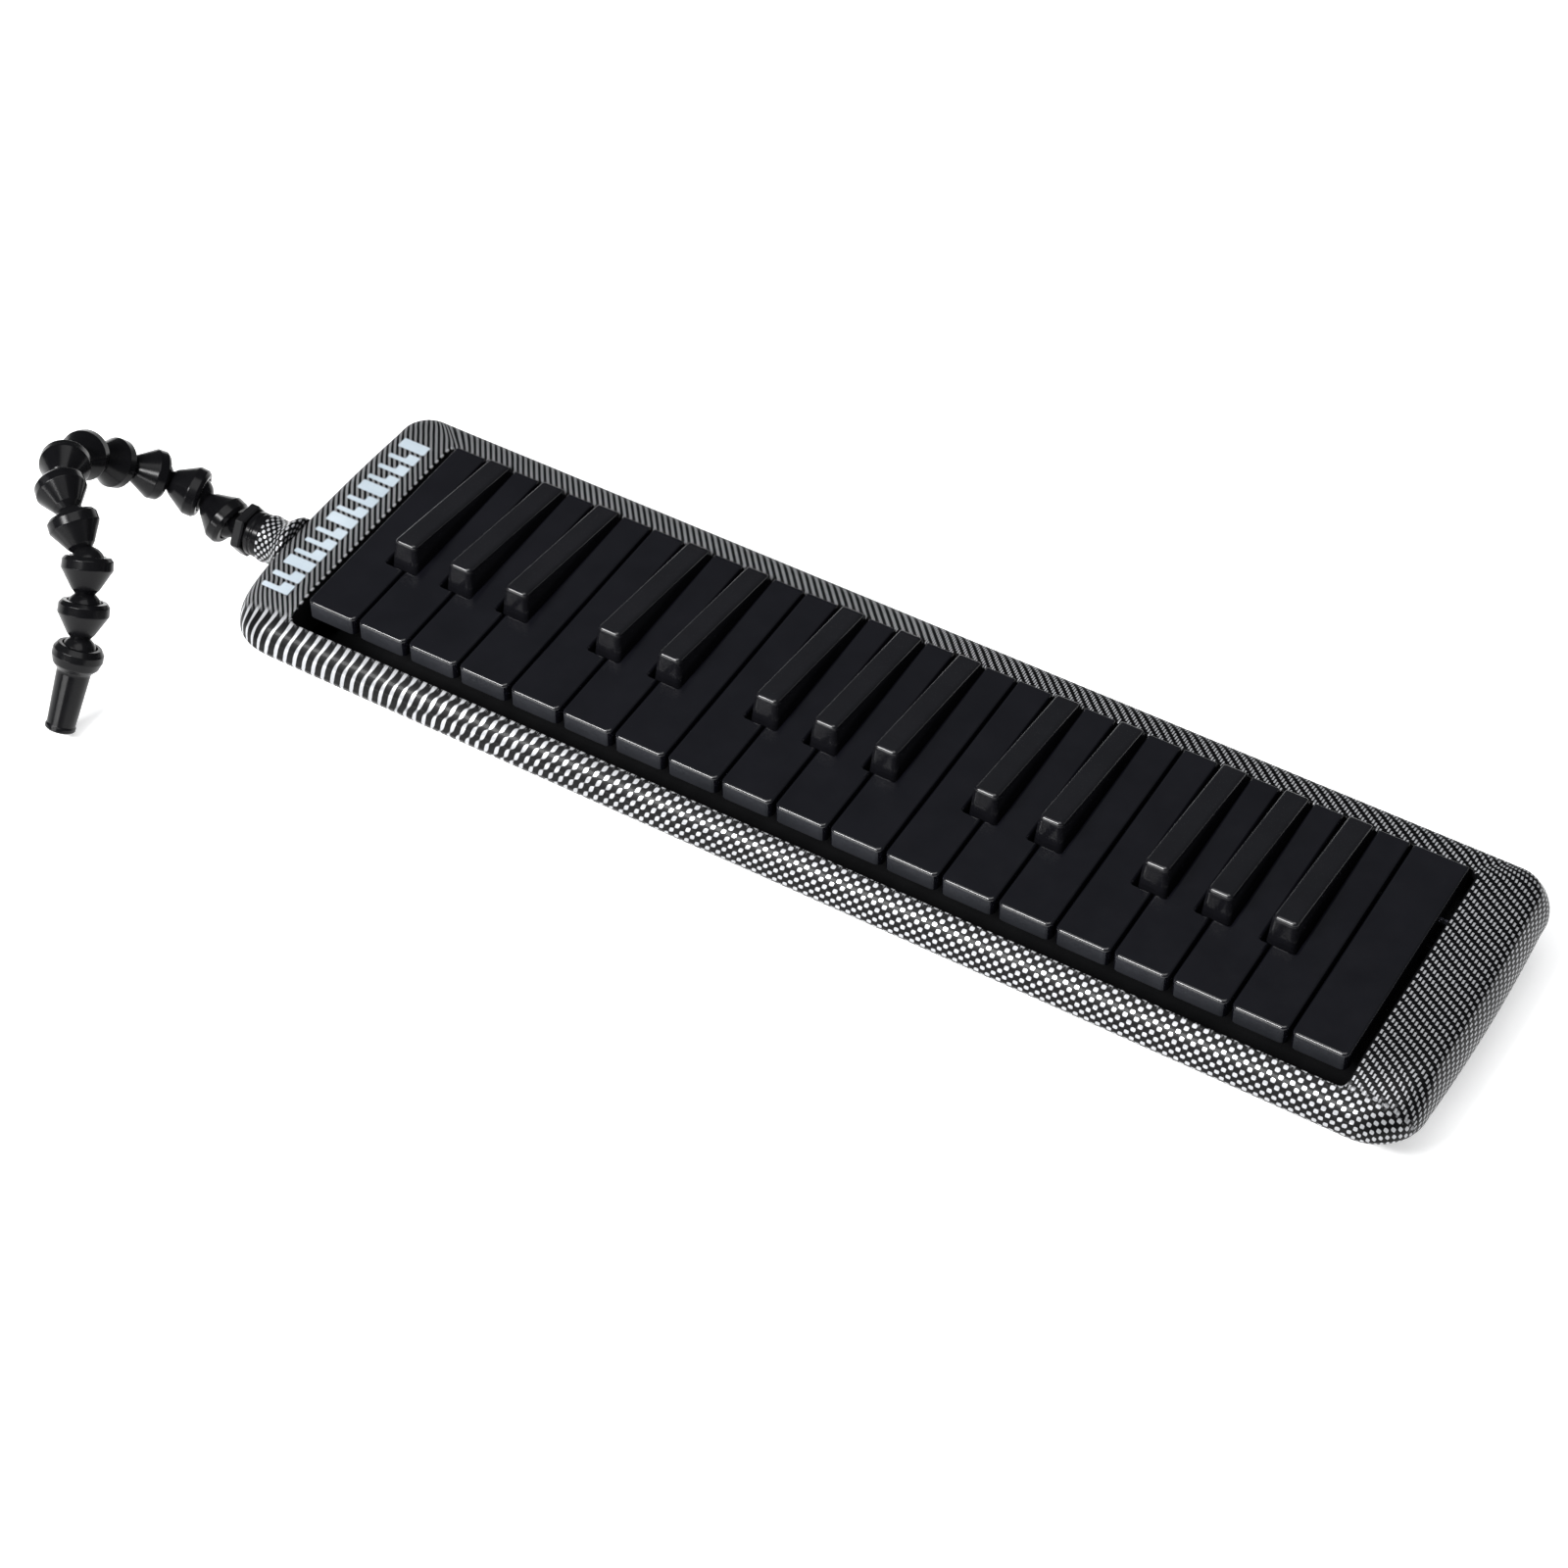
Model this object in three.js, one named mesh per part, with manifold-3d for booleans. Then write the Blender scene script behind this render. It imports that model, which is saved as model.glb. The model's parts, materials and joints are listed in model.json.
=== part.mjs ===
// A 32-key melodica: two case shells, 32 levered keys on one pivot rod, the wind chamber with its
// reed plates, a condensation drain, and a ball-and-socket blow hose.
// Millimetres. X runs from bass to treble, Y from the player's side to the back, Z up.
// The origin is the middle of the flat underside of the lower case.
import * as THREE from 'three';
import { mergeVertices } from 'three/addons/utils/BufferGeometryUtils.js';
import Module from 'manifold-3d';

const wasm = await Module();
wasm.setup();

// Driving dimensions
const CLEARANCE = 0.3;
const KEY_PITCH = 19.6;
const NATURAL_COUNT = 19;
const KEY_GAP = 1;
const KEY_FRONT = -42;
const KEY_BACK = 45;
const KEY_TOP = 33.5;
const KEY_DEPTH = 7;
const KEY_WALL = 2;
const SHARP_WIDTH = 10.5;
const SHARP_TOP_WIDTH = 8.5;
const SHARP_FRONT = -13;
const SHARP_RISE_FRONT = 8.5;
const SHARP_RISE_BACK = 1;
const LEVER_WIDTH = 6;

const CASE_HALF_LENGTH = 211.7;
const CASE_BACK = 58.3;
const CASE_WALL = 2.4;
const CASE_TOP = 31.5;
const CASE_SPLIT = 12;
const TRAY_FLOOR = 2.2;
const CORNER_FRONT = 17;
const CORNER_BACK = 11;
const END_BOW = 1.2;
const OPENING_HALF_LENGTH = 188.3;
const OPENING_FRONT = -48.5;
const OPENING_BACK = 45.6;
const FOOT_HEIGHT = 2.5;
const FOOT_RADIUS = 4.5;
const FOOT_RECESS = 1;
// Rubber feet near the four corners of the underside, each pressed into a shallow recess
const FEET = {
  bass_front: [-186, -35.4],
  treble_front: [186, -35.4],
  bass_back: [-170, 40],
  treble_back: [170, 40],
};

const PIVOT = { y: 30, z: 22, radius: 1.5 };
const CHAMBER = { halfLength: 192, front: 36, back: 51, bottom: 8.3, top: 16, roof: 2 };
const PORT = { y: 46.5, width: 4.5, depth: 6 };
const DRAIN = { x: 186.2, y: 42, radius: 4 };

const INLET = { y: -16, z: 23, neckRadius: 8, neckEnd: -221.2 };
const BALL_RADIUS = 5.9;
const SOCKET_RADIUS = 6.45;
const HOSE_BORE = 2.4;
const HOSE_PITCH = 14.5;
const HOSE_SIDES = 12;
const CONNECTOR_REACH = 17;
// Each hose segment's heading, from the connector to the mouthpiece: compass degrees from +X, and rise.
const HOSE_HEADINGS = [
  [172, 20], [194, 17], [220, 29], [251, 43], [282, 29], [303, 9],
  [323, -11], [325, -35], [292, -49], [285, -54], [270, -57],
];

// Notes of one octave from C: how far each sharp sits from the middle of its gap.
const NATURAL_LETTERS = ['c', 'd', 'e', 'f', 'g', 'a', 'b'];
const SHARP_OFFSETS = { c: -1.3, d: 1.8, f: -1.5, g: 0.3, a: 2.4 };
const FIRST_LETTER = 3;
const FIRST_OCTAVE = 3;

// Materials
const finish = (color, roughness, metalness) =>
  new THREE.MeshStandardMaterial({ color, roughness, metalness });
const MATERIALS = {
  shell: finish(0x6c7076, 0.3, 0.2),
  tray: finish(0x1d1e20, 0.45, 0),
  natural: finish(0x1e1f24, 0.35, 0),
  sharp: finish(0x24252a, 0.3, 0),
  hose: finish(0x131416, 0.25, 0),
  rubber: finish(0x222222, 0.9, 0),
  brass: finish(0xb08d4a, 0.35, 1),
  steel: finish(0xb8bcc2, 0.3, 1),
  chamber: finish(0xd8d8d4, 0.5, 0),
};

const melodica = new THREE.Group();

function addPart(name, geometry, material) {
  const mesh = new THREE.Mesh(geometry, material);
  mesh.name = name;
  melodica.add(mesh);
  return mesh;
}

// Joining and cutting closed meshes
function toSolid(geometry) {
  const bare = geometry.index ? geometry.clone() : geometry;
  bare.deleteAttribute('normal');
  bare.deleteAttribute('uv');
  const merged = mergeVertices(bare, 1e-4);
  return new wasm.Manifold(new wasm.Mesh({
    numProp: 3,
    vertProperties: new Float32Array(merged.attributes.position.array),
    triVerts: new Uint32Array(merged.index.array),
  }));
}

function toGeometry(solid) {
  const mesh = solid.getMesh();
  const geometry = new THREE.BufferGeometry();
  geometry.setAttribute('position', new THREE.BufferAttribute(mesh.vertProperties, 3));
  geometry.setIndex(new THREE.BufferAttribute(mesh.triVerts, 1));
  return geometry;
}

const join = (...geometries) =>
  geometries.map(toSolid).reduce((whole, next) => whole.add(next));

const cut = (solid, ...tools) =>
  tools.map(toSolid).reduce((rest, tool) => rest.subtract(tool), solid);

// A box given by its lowest and highest corners
function block(low, high) {
  const size = high.map((value, axis) => value - low[axis]);
  const centre = high.map((value, axis) => (value + low[axis]) / 2);
  return new THREE.BoxGeometry(...size).translate(...centre);
}

// A closed outline extruded upward from bottom to top
function prism(points, bottom, top) {
  const shape = new THREE.Shape(points.map(([x, y]) => new THREE.Vector2(x, y)));
  const geometry = new THREE.ExtrudeGeometry(shape, { depth: top - bottom, bevelEnabled: false });
  return geometry.translate(0, 0, bottom);
}

// A side profile of [y, z] points extruded along X
function sideProfile(points, left, right) {
  const geometry = prism(points, left, right);
  const toSide = new THREE.Matrix4().makeBasis(
    new THREE.Vector3(0, 1, 0), new THREE.Vector3(0, 0, 1), new THREE.Vector3(1, 0, 0));
  return geometry.applyMatrix4(toSide);
}

// Round bars, upright or along X
const upright = (x, y, bottom, top, radius, sides = 16) =>
  new THREE.CylinderGeometry(radius, radius, top - bottom, sides)
    .rotateX(Math.PI / 2)
    .translate(x, y, (top + bottom) / 2);

const crosswise = (left, right, y, z, radius, sides = 16) =>
  new THREE.CylinderGeometry(radius, radius, right - left, sides)
    .rotateZ(Math.PI / 2)
    .translate((left + right) / 2, y, z);

// A ring of [radius, along] points turned about its own axis, with the axis along +Y
function turned(profile, sides = HOSE_SIDES) {
  const closed = [...profile, profile[0]];
  return new THREE.LatheGeometry(closed.map(([radius, along]) => new THREE.Vector2(radius, along)), sides);
}

// Case: a stack of rounded plan outlines. Each level is [z, inset at the ends, inset at the back, front y].
const CASE_LEVELS = [
  [0, 13, 7, -40],
  [2, 10, 4.5, -43],
  [6, 6, 2.5, -47],
  [CASE_SPLIT, 2.2, 1, -52.6],
  [17.5, 0.2, 0.2, -56.6],
  [20, 0, 0, -56.8],
  [23, 0.3, 0.3, -55.8],
  [26, 1.2, 1, -53],
  [28.3, 2.3, 2, -48.8],
  [30.4, 3.6, 3.2, -43],
  [CASE_TOP, 5.2, 5, -36],
];
const CORNER_STEPS = 4;

function caseOutline([, endInset, backInset, front], wall) {
  const halfLength = CASE_HALF_LENGTH - endInset - wall;
  const back = CASE_BACK - backInset - wall;
  const low = front + wall;
  const rear = Math.max(CORNER_BACK - wall - backInset / 2, 2);
  const fore = Math.max(CORNER_FRONT - wall, 2);
  const corners = [
    [halfLength - fore, low + fore, fore, -90],
    [halfLength - rear, back - rear, rear, 0],
    [-halfLength + rear, back - rear, rear, 90],
    [-halfLength + fore, low + fore, fore, 180],
  ];
  const points = [];
  for (const [x, y, radius, start] of corners) {
    for (let step = 0; step <= CORNER_STEPS; step += 1) {
      const angle = THREE.MathUtils.degToRad(start + 90 * step / CORNER_STEPS);
      points.push([x + radius * Math.cos(angle), y + radius * Math.sin(angle)]);
    }
    if (start === -90) points.push([halfLength + END_BOW, (low + back) / 2]);
    if (start === 90) points.push([-halfLength - END_BOW, (low + back) / 2]);
  }
  return points;
}

// The level at any height, between the two that are listed around it
function levelAt(levels, z) {
  const above = levels.findIndex((level) => level[0] >= z);
  if (above === 0) return levels[0];
  const [low, high] = [levels[above - 1], levels[above]];
  const share = (z - low[0]) / (high[0] - low[0]);
  return low.map((value, index) => value + share * (high[index] - value));
}

// Joins the case outlines between two heights into one closed body with flat ends
function stack(levels, wall, bottom, top) {
  const between = levels.filter(([z]) => z > bottom + 0.01 && z < top - 0.01);
  const chosen = [levelAt(levels, bottom), ...between, levelAt(levels, top)];
  const rings = chosen.map((level) => ({ z: level[0], points: caseOutline(level, wall) }));
  const count = rings[0].points.length;
  const positions = rings.flatMap((ring) => ring.points.flatMap(([x, y]) => [x, y, ring.z]));
  const faces = [];
  for (let ring = 0; ring + 1 < rings.length; ring += 1) {
    for (let index = 0; index < count; index += 1) {
      const next = (index + 1) % count;
      const [a, b] = [ring * count + index, ring * count + next];
      faces.push(a, b, b + count, a, b + count, a + count);
    }
  }
  const base = rings[0].points.map(([x, y]) => new THREE.Vector2(x, y));
  const lid = rings.at(-1).points.map(([x, y]) => new THREE.Vector2(x, y));
  const lidStart = (rings.length - 1) * count;
  for (const [a, b, c] of THREE.ShapeUtils.triangulateShape(base, [])) faces.push(a, c, b);
  for (const [a, b, c] of THREE.ShapeUtils.triangulateShape(lid, [])) {
    faces.push(lidStart + a, lidStart + b, lidStart + c);
  }
  const geometry = new THREE.BufferGeometry();
  geometry.setAttribute('position', new THREE.Float32BufferAttribute(positions, 3));
  geometry.setIndex(faces);
  return geometry;
}

// The moulded upright wall around the two ends and the front of the keyboard opening
function openingSkirt() {
  return block(
    [-OPENING_HALF_LENGTH - CASE_WALL, OPENING_FRONT - CASE_WALL + 0.4, 15],
    [OPENING_HALF_LENGTH + CASE_WALL, OPENING_BACK - 24, CASE_TOP - 3]);
}

function upperCase() {
  const neck = crosswise(INLET.neckEnd, -CASE_HALF_LENGTH + 12, INLET.y, INLET.z, INLET.neckRadius, 20);
  const shell = toSolid(stack(CASE_LEVELS, 0, CASE_SPLIT, CASE_TOP)).add(toSolid(neck));
  const hollow = stack(CASE_LEVELS, CASE_WALL, CASE_SPLIT - 1, CASE_TOP - CASE_WALL);
  const opening = block(
    [-OPENING_HALF_LENGTH, OPENING_FRONT, CASE_SPLIT - 1],
    [OPENING_HALF_LENGTH, OPENING_BACK, CASE_TOP + 1]);
  const skirt = toSolid(openingSkirt()).intersect(toSolid(stack(CASE_LEVELS, 0, CASE_SPLIT, CASE_TOP)));
  const neckBore = crosswise(INLET.neckEnd - 1, -CASE_HALF_LENGTH + 14, INLET.y, INLET.z, 6.5, 20);
  return cut(cut(shell, hollow).add(skirt), opening, neckBore);
}

function lowerCase() {
  const rim = CASE_SPLIT - CLEARANCE;
  const outer = toSolid(stack(CASE_LEVELS, 0, 0, CASE_SPLIT));
  const above = block([-300, -100, rim], [300, 100, CASE_SPLIT + 1]);
  const hollow = stack(CASE_LEVELS, CASE_WALL, TRAY_FLOOR, CASE_SPLIT + 1);
  const drainHole = upright(DRAIN.x, DRAIN.y, -1, 4, DRAIN.radius);
  const footRecesses = Object.values(FEET).map(
    ([x, y]) => upright(x, y, -1, FOOT_RECESS, FOOT_RADIUS + CLEARANCE));
  return cut(outer, above, hollow, drainHole, ...footRecesses);
}

// Keys
function noteNames() {
  const notes = [];
  for (let index = 0; index < NATURAL_COUNT; index += 1) {
    const letterIndex = (FIRST_LETTER + index) % 7;
    const octave = FIRST_OCTAVE + Math.floor((FIRST_LETTER + index) / 7);
    notes.push({ letter: NATURAL_LETTERS[letterIndex], octave });
  }
  return notes;
}

const NOTES = noteNames();
const KEYBOARD_LEFT = -NATURAL_COUNT * KEY_PITCH / 2;
const naturalLeft = (index) => KEYBOARD_LEFT + index * KEY_PITCH;
const hasSharp = (index) =>
  index >= 0 && index < NATURAL_COUNT - 1 && NOTES[index].letter in SHARP_OFFSETS;
const sharpCentre = (index) => naturalLeft(index + 1) + SHARP_OFFSETS[NOTES[index].letter];

// Left and right sides of a natural behind its sharps' fronts
function naturalWaist(index) {
  const reach = SHARP_WIDTH / 2 + 0.6;
  const left = hasSharp(index - 1) ? sharpCentre(index - 1) + reach : naturalLeft(index) + KEY_GAP / 2;
  const right = hasSharp(index) ? sharpCentre(index) - reach : naturalLeft(index + 1) - KEY_GAP / 2;
  return [left, right];
}

function naturalPlan(index, inset) {
  const left = naturalLeft(index) + KEY_GAP / 2 + inset;
  const right = naturalLeft(index + 1) - KEY_GAP / 2 - inset;
  const [waistLeft, waistRight] = naturalWaist(index);
  const shoulder = SHARP_FRONT - 0.9 - inset;
  const points = [[left, KEY_FRONT + inset], [right, KEY_FRONT + inset]];
  if (hasSharp(index)) points.push([right, shoulder], [waistRight - inset, shoulder]);
  points.push([waistRight - inset, KEY_BACK - inset], [waistLeft + inset, KEY_BACK - inset]);
  if (hasSharp(index - 1)) points.push([waistLeft + inset, shoulder], [left, shoulder]);
  return points;
}

// The lever under a key: it turns on the pivot rod and carries the valve pad on its tail
const LEVER_PROFILE = [
  [24, 18.5], [36, 18.5], [42, 19.8], [51.5, 19.8], [51.5, 25.3], [46, 26],
  [44, 29], [44, 32], [10, 32], [10, 28.8], [17, 28.8],
];

function lever(centre) {
  return sideProfile(LEVER_PROFILE, centre - LEVER_WIDTH / 2, centre + LEVER_WIDTH / 2);
}

const pivotHole = (centre) =>
  crosswise(centre - LEVER_WIDTH, centre + LEVER_WIDTH, PIVOT.y, PIVOT.z, PIVOT.radius + CLEARANCE, 12);

function naturalKey(index) {
  const bottom = KEY_TOP - KEY_DEPTH;
  const outer = toSolid(prism(naturalPlan(index, 0), bottom, KEY_TOP));
  const hollow = prism(naturalPlan(index, KEY_WALL), bottom - 1, KEY_TOP - KEY_WALL);
  const [left, right] = naturalWaist(index);
  const centre = (left + right) / 2;
  return cut(cut(outer, hollow).add(toSolid(lever(centre))), pivotHole(centre));
}

// A sharp leans back at its front, narrows upward and slopes down towards the back
function sharpBlock(centre) {
  const bottom = KEY_TOP - KEY_DEPTH;
  const geometry = new THREE.BoxGeometry(1, 1, 1);
  const position = geometry.attributes.position;
  for (let index = 0; index < position.count; index += 1) {
    const isTop = position.getZ(index) > 0;
    const isBack = position.getY(index) > 0;
    const width = isTop ? SHARP_TOP_WIDTH : SHARP_WIDTH;
    const topZ = KEY_TOP + (isBack ? SHARP_RISE_BACK : SHARP_RISE_FRONT);
    const frontY = isTop ? SHARP_FRONT + 2 : SHARP_FRONT;
    position.setXYZ(
      index,
      centre + position.getX(index) * width,
      isBack ? KEY_BACK : frontY,
      isTop ? topZ : bottom);
  }
  return geometry;
}

function sharpKey(index) {
  const centre = sharpCentre(index);
  const half = SHARP_WIDTH / 2 - KEY_WALL;
  const hollow = block(
    [centre - half, SHARP_FRONT + KEY_WALL, 0],
    [centre + half, KEY_BACK - KEY_WALL, KEY_TOP - KEY_WALL]);
  const body = cut(toSolid(sharpBlock(centre)), hollow);
  return cut(body.add(toSolid(lever(centre))), pivotHole(centre));
}

const leverCentres = [];
for (let index = 0; index < NATURAL_COUNT; index += 1) {
  const { letter, octave } = NOTES[index];
  const [left, right] = naturalWaist(index);
  addPart(`key_${letter}${octave}`, toGeometry(naturalKey(index)), MATERIALS.natural);
  leverCentres.push((left + right) / 2);
  if (hasSharp(index)) {
    addPart(`key_${letter}_sharp${octave}`, toGeometry(sharpKey(index)), MATERIALS.sharp);
    leverCentres.push(sharpCentre(index));
  }
}

// Pivot rod and the wind chamber that carries it
function pivotRod() {
  return crosswise(-CHAMBER.halfLength, CHAMBER.halfLength, PIVOT.y, PIVOT.z, PIVOT.radius, 12);
}

// Rod posts stand at both ends of the keyboard, joined to the chamber by an arm
function rodPost(side) {
  const inner = side * (OPENING_HALF_LENGTH - 0.8);
  const outer = side * CHAMBER.halfLength;
  const [left, right] = [Math.min(inner, outer), Math.max(inner, outer)];
  return block([left, 25, CHAMBER.bottom], [right, 40, 26]);
}

function windChamber() {
  const end = CHAMBER.halfLength;
  const body = join(
    block([-end, CHAMBER.front, CHAMBER.bottom], [end, CHAMBER.back, CHAMBER.top]),
    block(
      [-OPENING_HALF_LENGTH + 2, 26, CHAMBER.bottom],
      [OPENING_HALF_LENGTH - 2, 37, CHAMBER.bottom + 3.7]),
    rodPost(-1),
    rodPost(1));
  const cells = leverCentres.map((centre) => block(
    [centre - PORT.width / 2, CHAMBER.front + 2, CHAMBER.bottom - 1],
    [centre + PORT.width / 2, CHAMBER.back - 1.5, CHAMBER.top - CHAMBER.roof]));
  const ports = leverCentres.map((centre) => block(
    [centre - PORT.width / 2, PORT.y - PORT.depth / 2, CHAMBER.top - CHAMBER.roof - 1],
    [centre + PORT.width / 2, PORT.y + PORT.depth / 2, CHAMBER.top + 1]));
  const drainCell = block(
    [DRAIN.x - 4, CHAMBER.front + 2, CHAMBER.bottom - 1],
    [end - 1, CHAMBER.back - 2, CHAMBER.top - CHAMBER.roof]);
  const inlet = block(
    [-end - 1, CHAMBER.front + 3, CHAMBER.bottom - 1],
    [-OPENING_HALF_LENGTH + 1, CHAMBER.back - 3, CHAMBER.top - CHAMBER.roof]);
  const rodSeat = crosswise(-end - 1, end + 1, PIVOT.y, PIVOT.z, PIVOT.radius + CLEARANCE, 12);
  return cut(body, ...cells, ...ports, drainCell, inlet, rodSeat);
}

// The tray under the chamber: the duct that feeds every reed
function chamberCover() {
  const bottom = TRAY_FLOOR + CLEARANCE;
  const top = 6.3;
  const left = -CHAMBER.halfLength;
  const right = CHAMBER.halfLength;
  const tray = toSolid(block([left, CHAMBER.front, bottom], [right, CHAMBER.back, top]));
  const duct = block([left + 2, CHAMBER.front + 2, bottom + 1.4], [right - 2, CHAMBER.back - 1.5, top + 1]);
  const drainHole = upright(DRAIN.x, DRAIN.y, bottom - 1, top, 2);
  return cut(tray, duct, drainHole);
}

// Brass plate with one reed slot for each valve port
function reedPlate(left, right) {
  const plate = toSolid(block(
    [left, CHAMBER.front, 6.3 + CLEARANCE],
    [right, CHAMBER.back, CHAMBER.bottom - CLEARANCE]));
  const slots = leverCentres
    .filter((centre) => centre > left && centre < right)
    .map((centre) => block([centre - 1.2, CHAMBER.front + 3, 5], [centre + 1.2, CHAMBER.back - 3, 9]));
  return cut(plate, ...slots);
}

// Leaf springs that push every key up, on one shared strip
function springComb() {
  const stripZ = CHAMBER.bottom + 4;
  const strip = block([-OPENING_HALF_LENGTH + 2, 26, stripZ], [OPENING_HALF_LENGTH - 2, 35, stripZ + 0.8]);
  const blades = leverCentres.map((centre) => sideProfile(
    [[27, stripZ], [27, stripZ + 0.8], [13.4, 28.4], [12.4, 28.4], [12.4, 27.8], [26, stripZ]],
    centre - 1.5,
    centre + 1.5));
  return join(strip, ...blades);
}

// The duct from the hose socket along the bass end to the wind chamber
function inletDuct() {
  const right = -CHAMBER.halfLength - CLEARANCE;
  const left = right - 10;
  const body = join(
    block([left, INLET.y - 8, 14], [right, INLET.y + 8, 29]),
    block([left, INLET.y, CHAMBER.bottom], [right, CHAMBER.back - 3, CHAMBER.top + 3]));
  const mouth = crosswise(left - 1, left + 8, INLET.y, INLET.z, 5, 16);
  const channel = block(
    [left + 2, INLET.y - 5, CHAMBER.bottom + 2],
    [right - 2, CHAMBER.back - 5, CHAMBER.top + 1]);
  const riser = block([left + 2, INLET.y - 5, 16], [right - 2, INLET.y + 5, 27]);
  const outlet = block(
    [right - 3, CHAMBER.front + 4, CHAMBER.bottom + 2],
    [right + 1, CHAMBER.back - 5, CHAMBER.top - CHAMBER.roof]);
  return cut(body, mouth, channel, riser, outlet);
}

// Condensation drain: a button under the treble end lifts a seal off its hole
const drainButton = () => join(
  upright(DRAIN.x, DRAIN.y, -1.2, 1.1, DRAIN.radius - 0.4),
  upright(DRAIN.x, DRAIN.y, 0.8, 5.4, 1.4));

const drainSeal = () => {
  const outer = toSolid(upright(DRAIN.x, DRAIN.y, 4.2, 5.8, 3));
  return cut(outer, upright(DRAIN.x, DRAIN.y, 3, 7, 1.4 + CLEARANCE));
};

function drainSpring() {
  const turns = 3;
  const steps = 12 * turns;
  const points = [];
  for (let step = 0; step <= steps; step += 1) {
    const angle = 2 * Math.PI * turns * step / steps;
    const height = 6.6 + 6.6 * step / steps;
    points.push(new THREE.Vector3(
      DRAIN.x + 2.2 * Math.cos(angle),
      DRAIN.y + 2.2 * Math.sin(angle),
      height));
  }
  const wire = new THREE.Shape();
  wire.absarc(0, 0, 0.35, 0, 2 * Math.PI, false);
  return new THREE.ExtrudeGeometry(wire, {
    steps,
    curveSegments: 3,
    extrudePath: new THREE.CatmullRomCurve3(points),
  });
}

addPart('upper_case', toGeometry(upperCase()), MATERIALS.shell);
addPart('lower_case', toGeometry(lowerCase()), MATERIALS.tray);
addPart('pivot_rod', pivotRod(), MATERIALS.steel);
addPart('wind_chamber', toGeometry(windChamber()), MATERIALS.chamber);
addPart('chamber_cover', toGeometry(chamberCover()), MATERIALS.chamber);
addPart('inlet_duct', toGeometry(inletDuct()), MATERIALS.chamber);
addPart('reed_plate_bass', toGeometry(reedPlate(-CHAMBER.halfLength + 2, -CLEARANCE)), MATERIALS.brass);
addPart('reed_plate_treble', toGeometry(reedPlate(CLEARANCE, DRAIN.x - 5)), MATERIALS.brass);
addPart('key_spring_comb', toGeometry(springComb()), MATERIALS.steel);
addPart('drain_button', toGeometry(drainButton()), MATERIALS.hose);
addPart('drain_seal', toGeometry(drainSeal()), MATERIALS.rubber);
addPart('drain_spring', drainSpring(), MATERIALS.steel);

for (const [place, [x, y]] of Object.entries(FEET)) {
  const foot = upright(x, y, -FOOT_HEIGHT, FOOT_RECESS - CLEARANCE, FOOT_RADIUS);
  addPart(`foot_${place}`, foot, MATERIALS.rubber);
}

// Hose: sockets open towards the body, balls point towards the mouthpiece
const arcPoint = (radius, degrees, centre) => {
  const angle = THREE.MathUtils.degToRad(degrees);
  return [radius * Math.cos(angle), centre + radius * Math.sin(angle)];
};

const socketWall = () => [60, 35, 10, -23.8].map((degrees) => arcPoint(SOCKET_RADIUS, degrees, 0));
const ballSkin = (centre) => [-56, -28, 0, 25, 45].map((degrees) => arcPoint(BALL_RADIUS, degrees, centre));

function segmentProfile() {
  const ballEnd = HOSE_PITCH + BALL_RADIUS * Math.sin(Math.PI / 4);
  return [
    [7.4, -2.6], [8.4, -1.4], [8.5, 1.6], [4.6, 8.2], [3.3, 9.6],
    ...ballSkin(HOSE_PITCH),
    [HOSE_BORE, ballEnd], [HOSE_BORE, 6.8],
    ...socketWall(),
  ];
}

const MOUTHPIECE_LENGTH = 27;

function mouthpieceProfile() {
  return [
    [7.2, -2.6], [8.4, -0.8], [8.5, 1.5], [7.6, 4.2], [5.7, 6.2], [4.8, 24.8], [5.1, 25.4],
    [5.1, MOUTHPIECE_LENGTH - 0.6], [4.6, MOUTHPIECE_LENGTH], [2.8, MOUTHPIECE_LENGTH],
    [HOSE_BORE, 20], [HOSE_BORE, 6.8],
    ...socketWall(),
  ];
}

// The connector's profile is measured from the neck's end face
function connector() {
  const ballEnd = CONNECTOR_REACH + BALL_RADIUS * Math.sin(Math.PI / 4);
  const barrel = turned([
    [6.1, -9], [6.1, CLEARANCE], [7.5, CLEARANCE], [7.6, 5], [6.6, 5.6], [6.6, 9.6], [5.4, 10.4], [3.3, 12],
    ...ballSkin(CONNECTOR_REACH),
    [HOSE_BORE, ballEnd], [HOSE_BORE, -9],
  ]);
  const collar = new THREE.CylinderGeometry(9.2, 9.2, 3.6, 6).translate(0, 7.6, 0);
  const bore = new THREE.CylinderGeometry(5, 5, 8, 6).translate(0, 7.6, 0);
  const ring = cut(toSolid(collar), bore);
  return toGeometry(toSolid(barrel).add(ring));
}

const heading = ([compass, rise]) => {
  const [turn, lift] = [compass, rise].map(THREE.MathUtils.degToRad);
  return new THREE.Vector3(
    Math.cos(lift) * Math.cos(turn),
    Math.cos(lift) * Math.sin(turn),
    Math.sin(lift));
};

const ALONG_AXIS = new THREE.Vector3(0, 1, 0);

function placeOnHose(mesh, point, direction) {
  mesh.position.copy(point);
  mesh.quaternion.setFromUnitVectors(ALONG_AXIS, direction);
}

const bassward = new THREE.Vector3(-1, 0, 0);
const socket = new THREE.Vector3(INLET.neckEnd, INLET.y, INLET.z);
placeOnHose(addPart('hose_connector', connector(), MATERIALS.hose), socket, bassward);

const segment = turned(segmentProfile());
const joint = socket.clone().addScaledVector(bassward, CONNECTOR_REACH);
for (let index = 0; index < HOSE_HEADINGS.length - 1; index += 1) {
  const direction = heading(HOSE_HEADINGS[index]);
  placeOnHose(addPart(`hose_segment_${index + 1}`, segment, MATERIALS.hose), joint, direction);
  joint.addScaledVector(direction, HOSE_PITCH);
}
placeOnHose(
  addPart('mouthpiece', turned(mouthpieceProfile()), MATERIALS.hose),
  joint,
  heading(HOSE_HEADINGS.at(-1)));

export default melodica;
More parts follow.
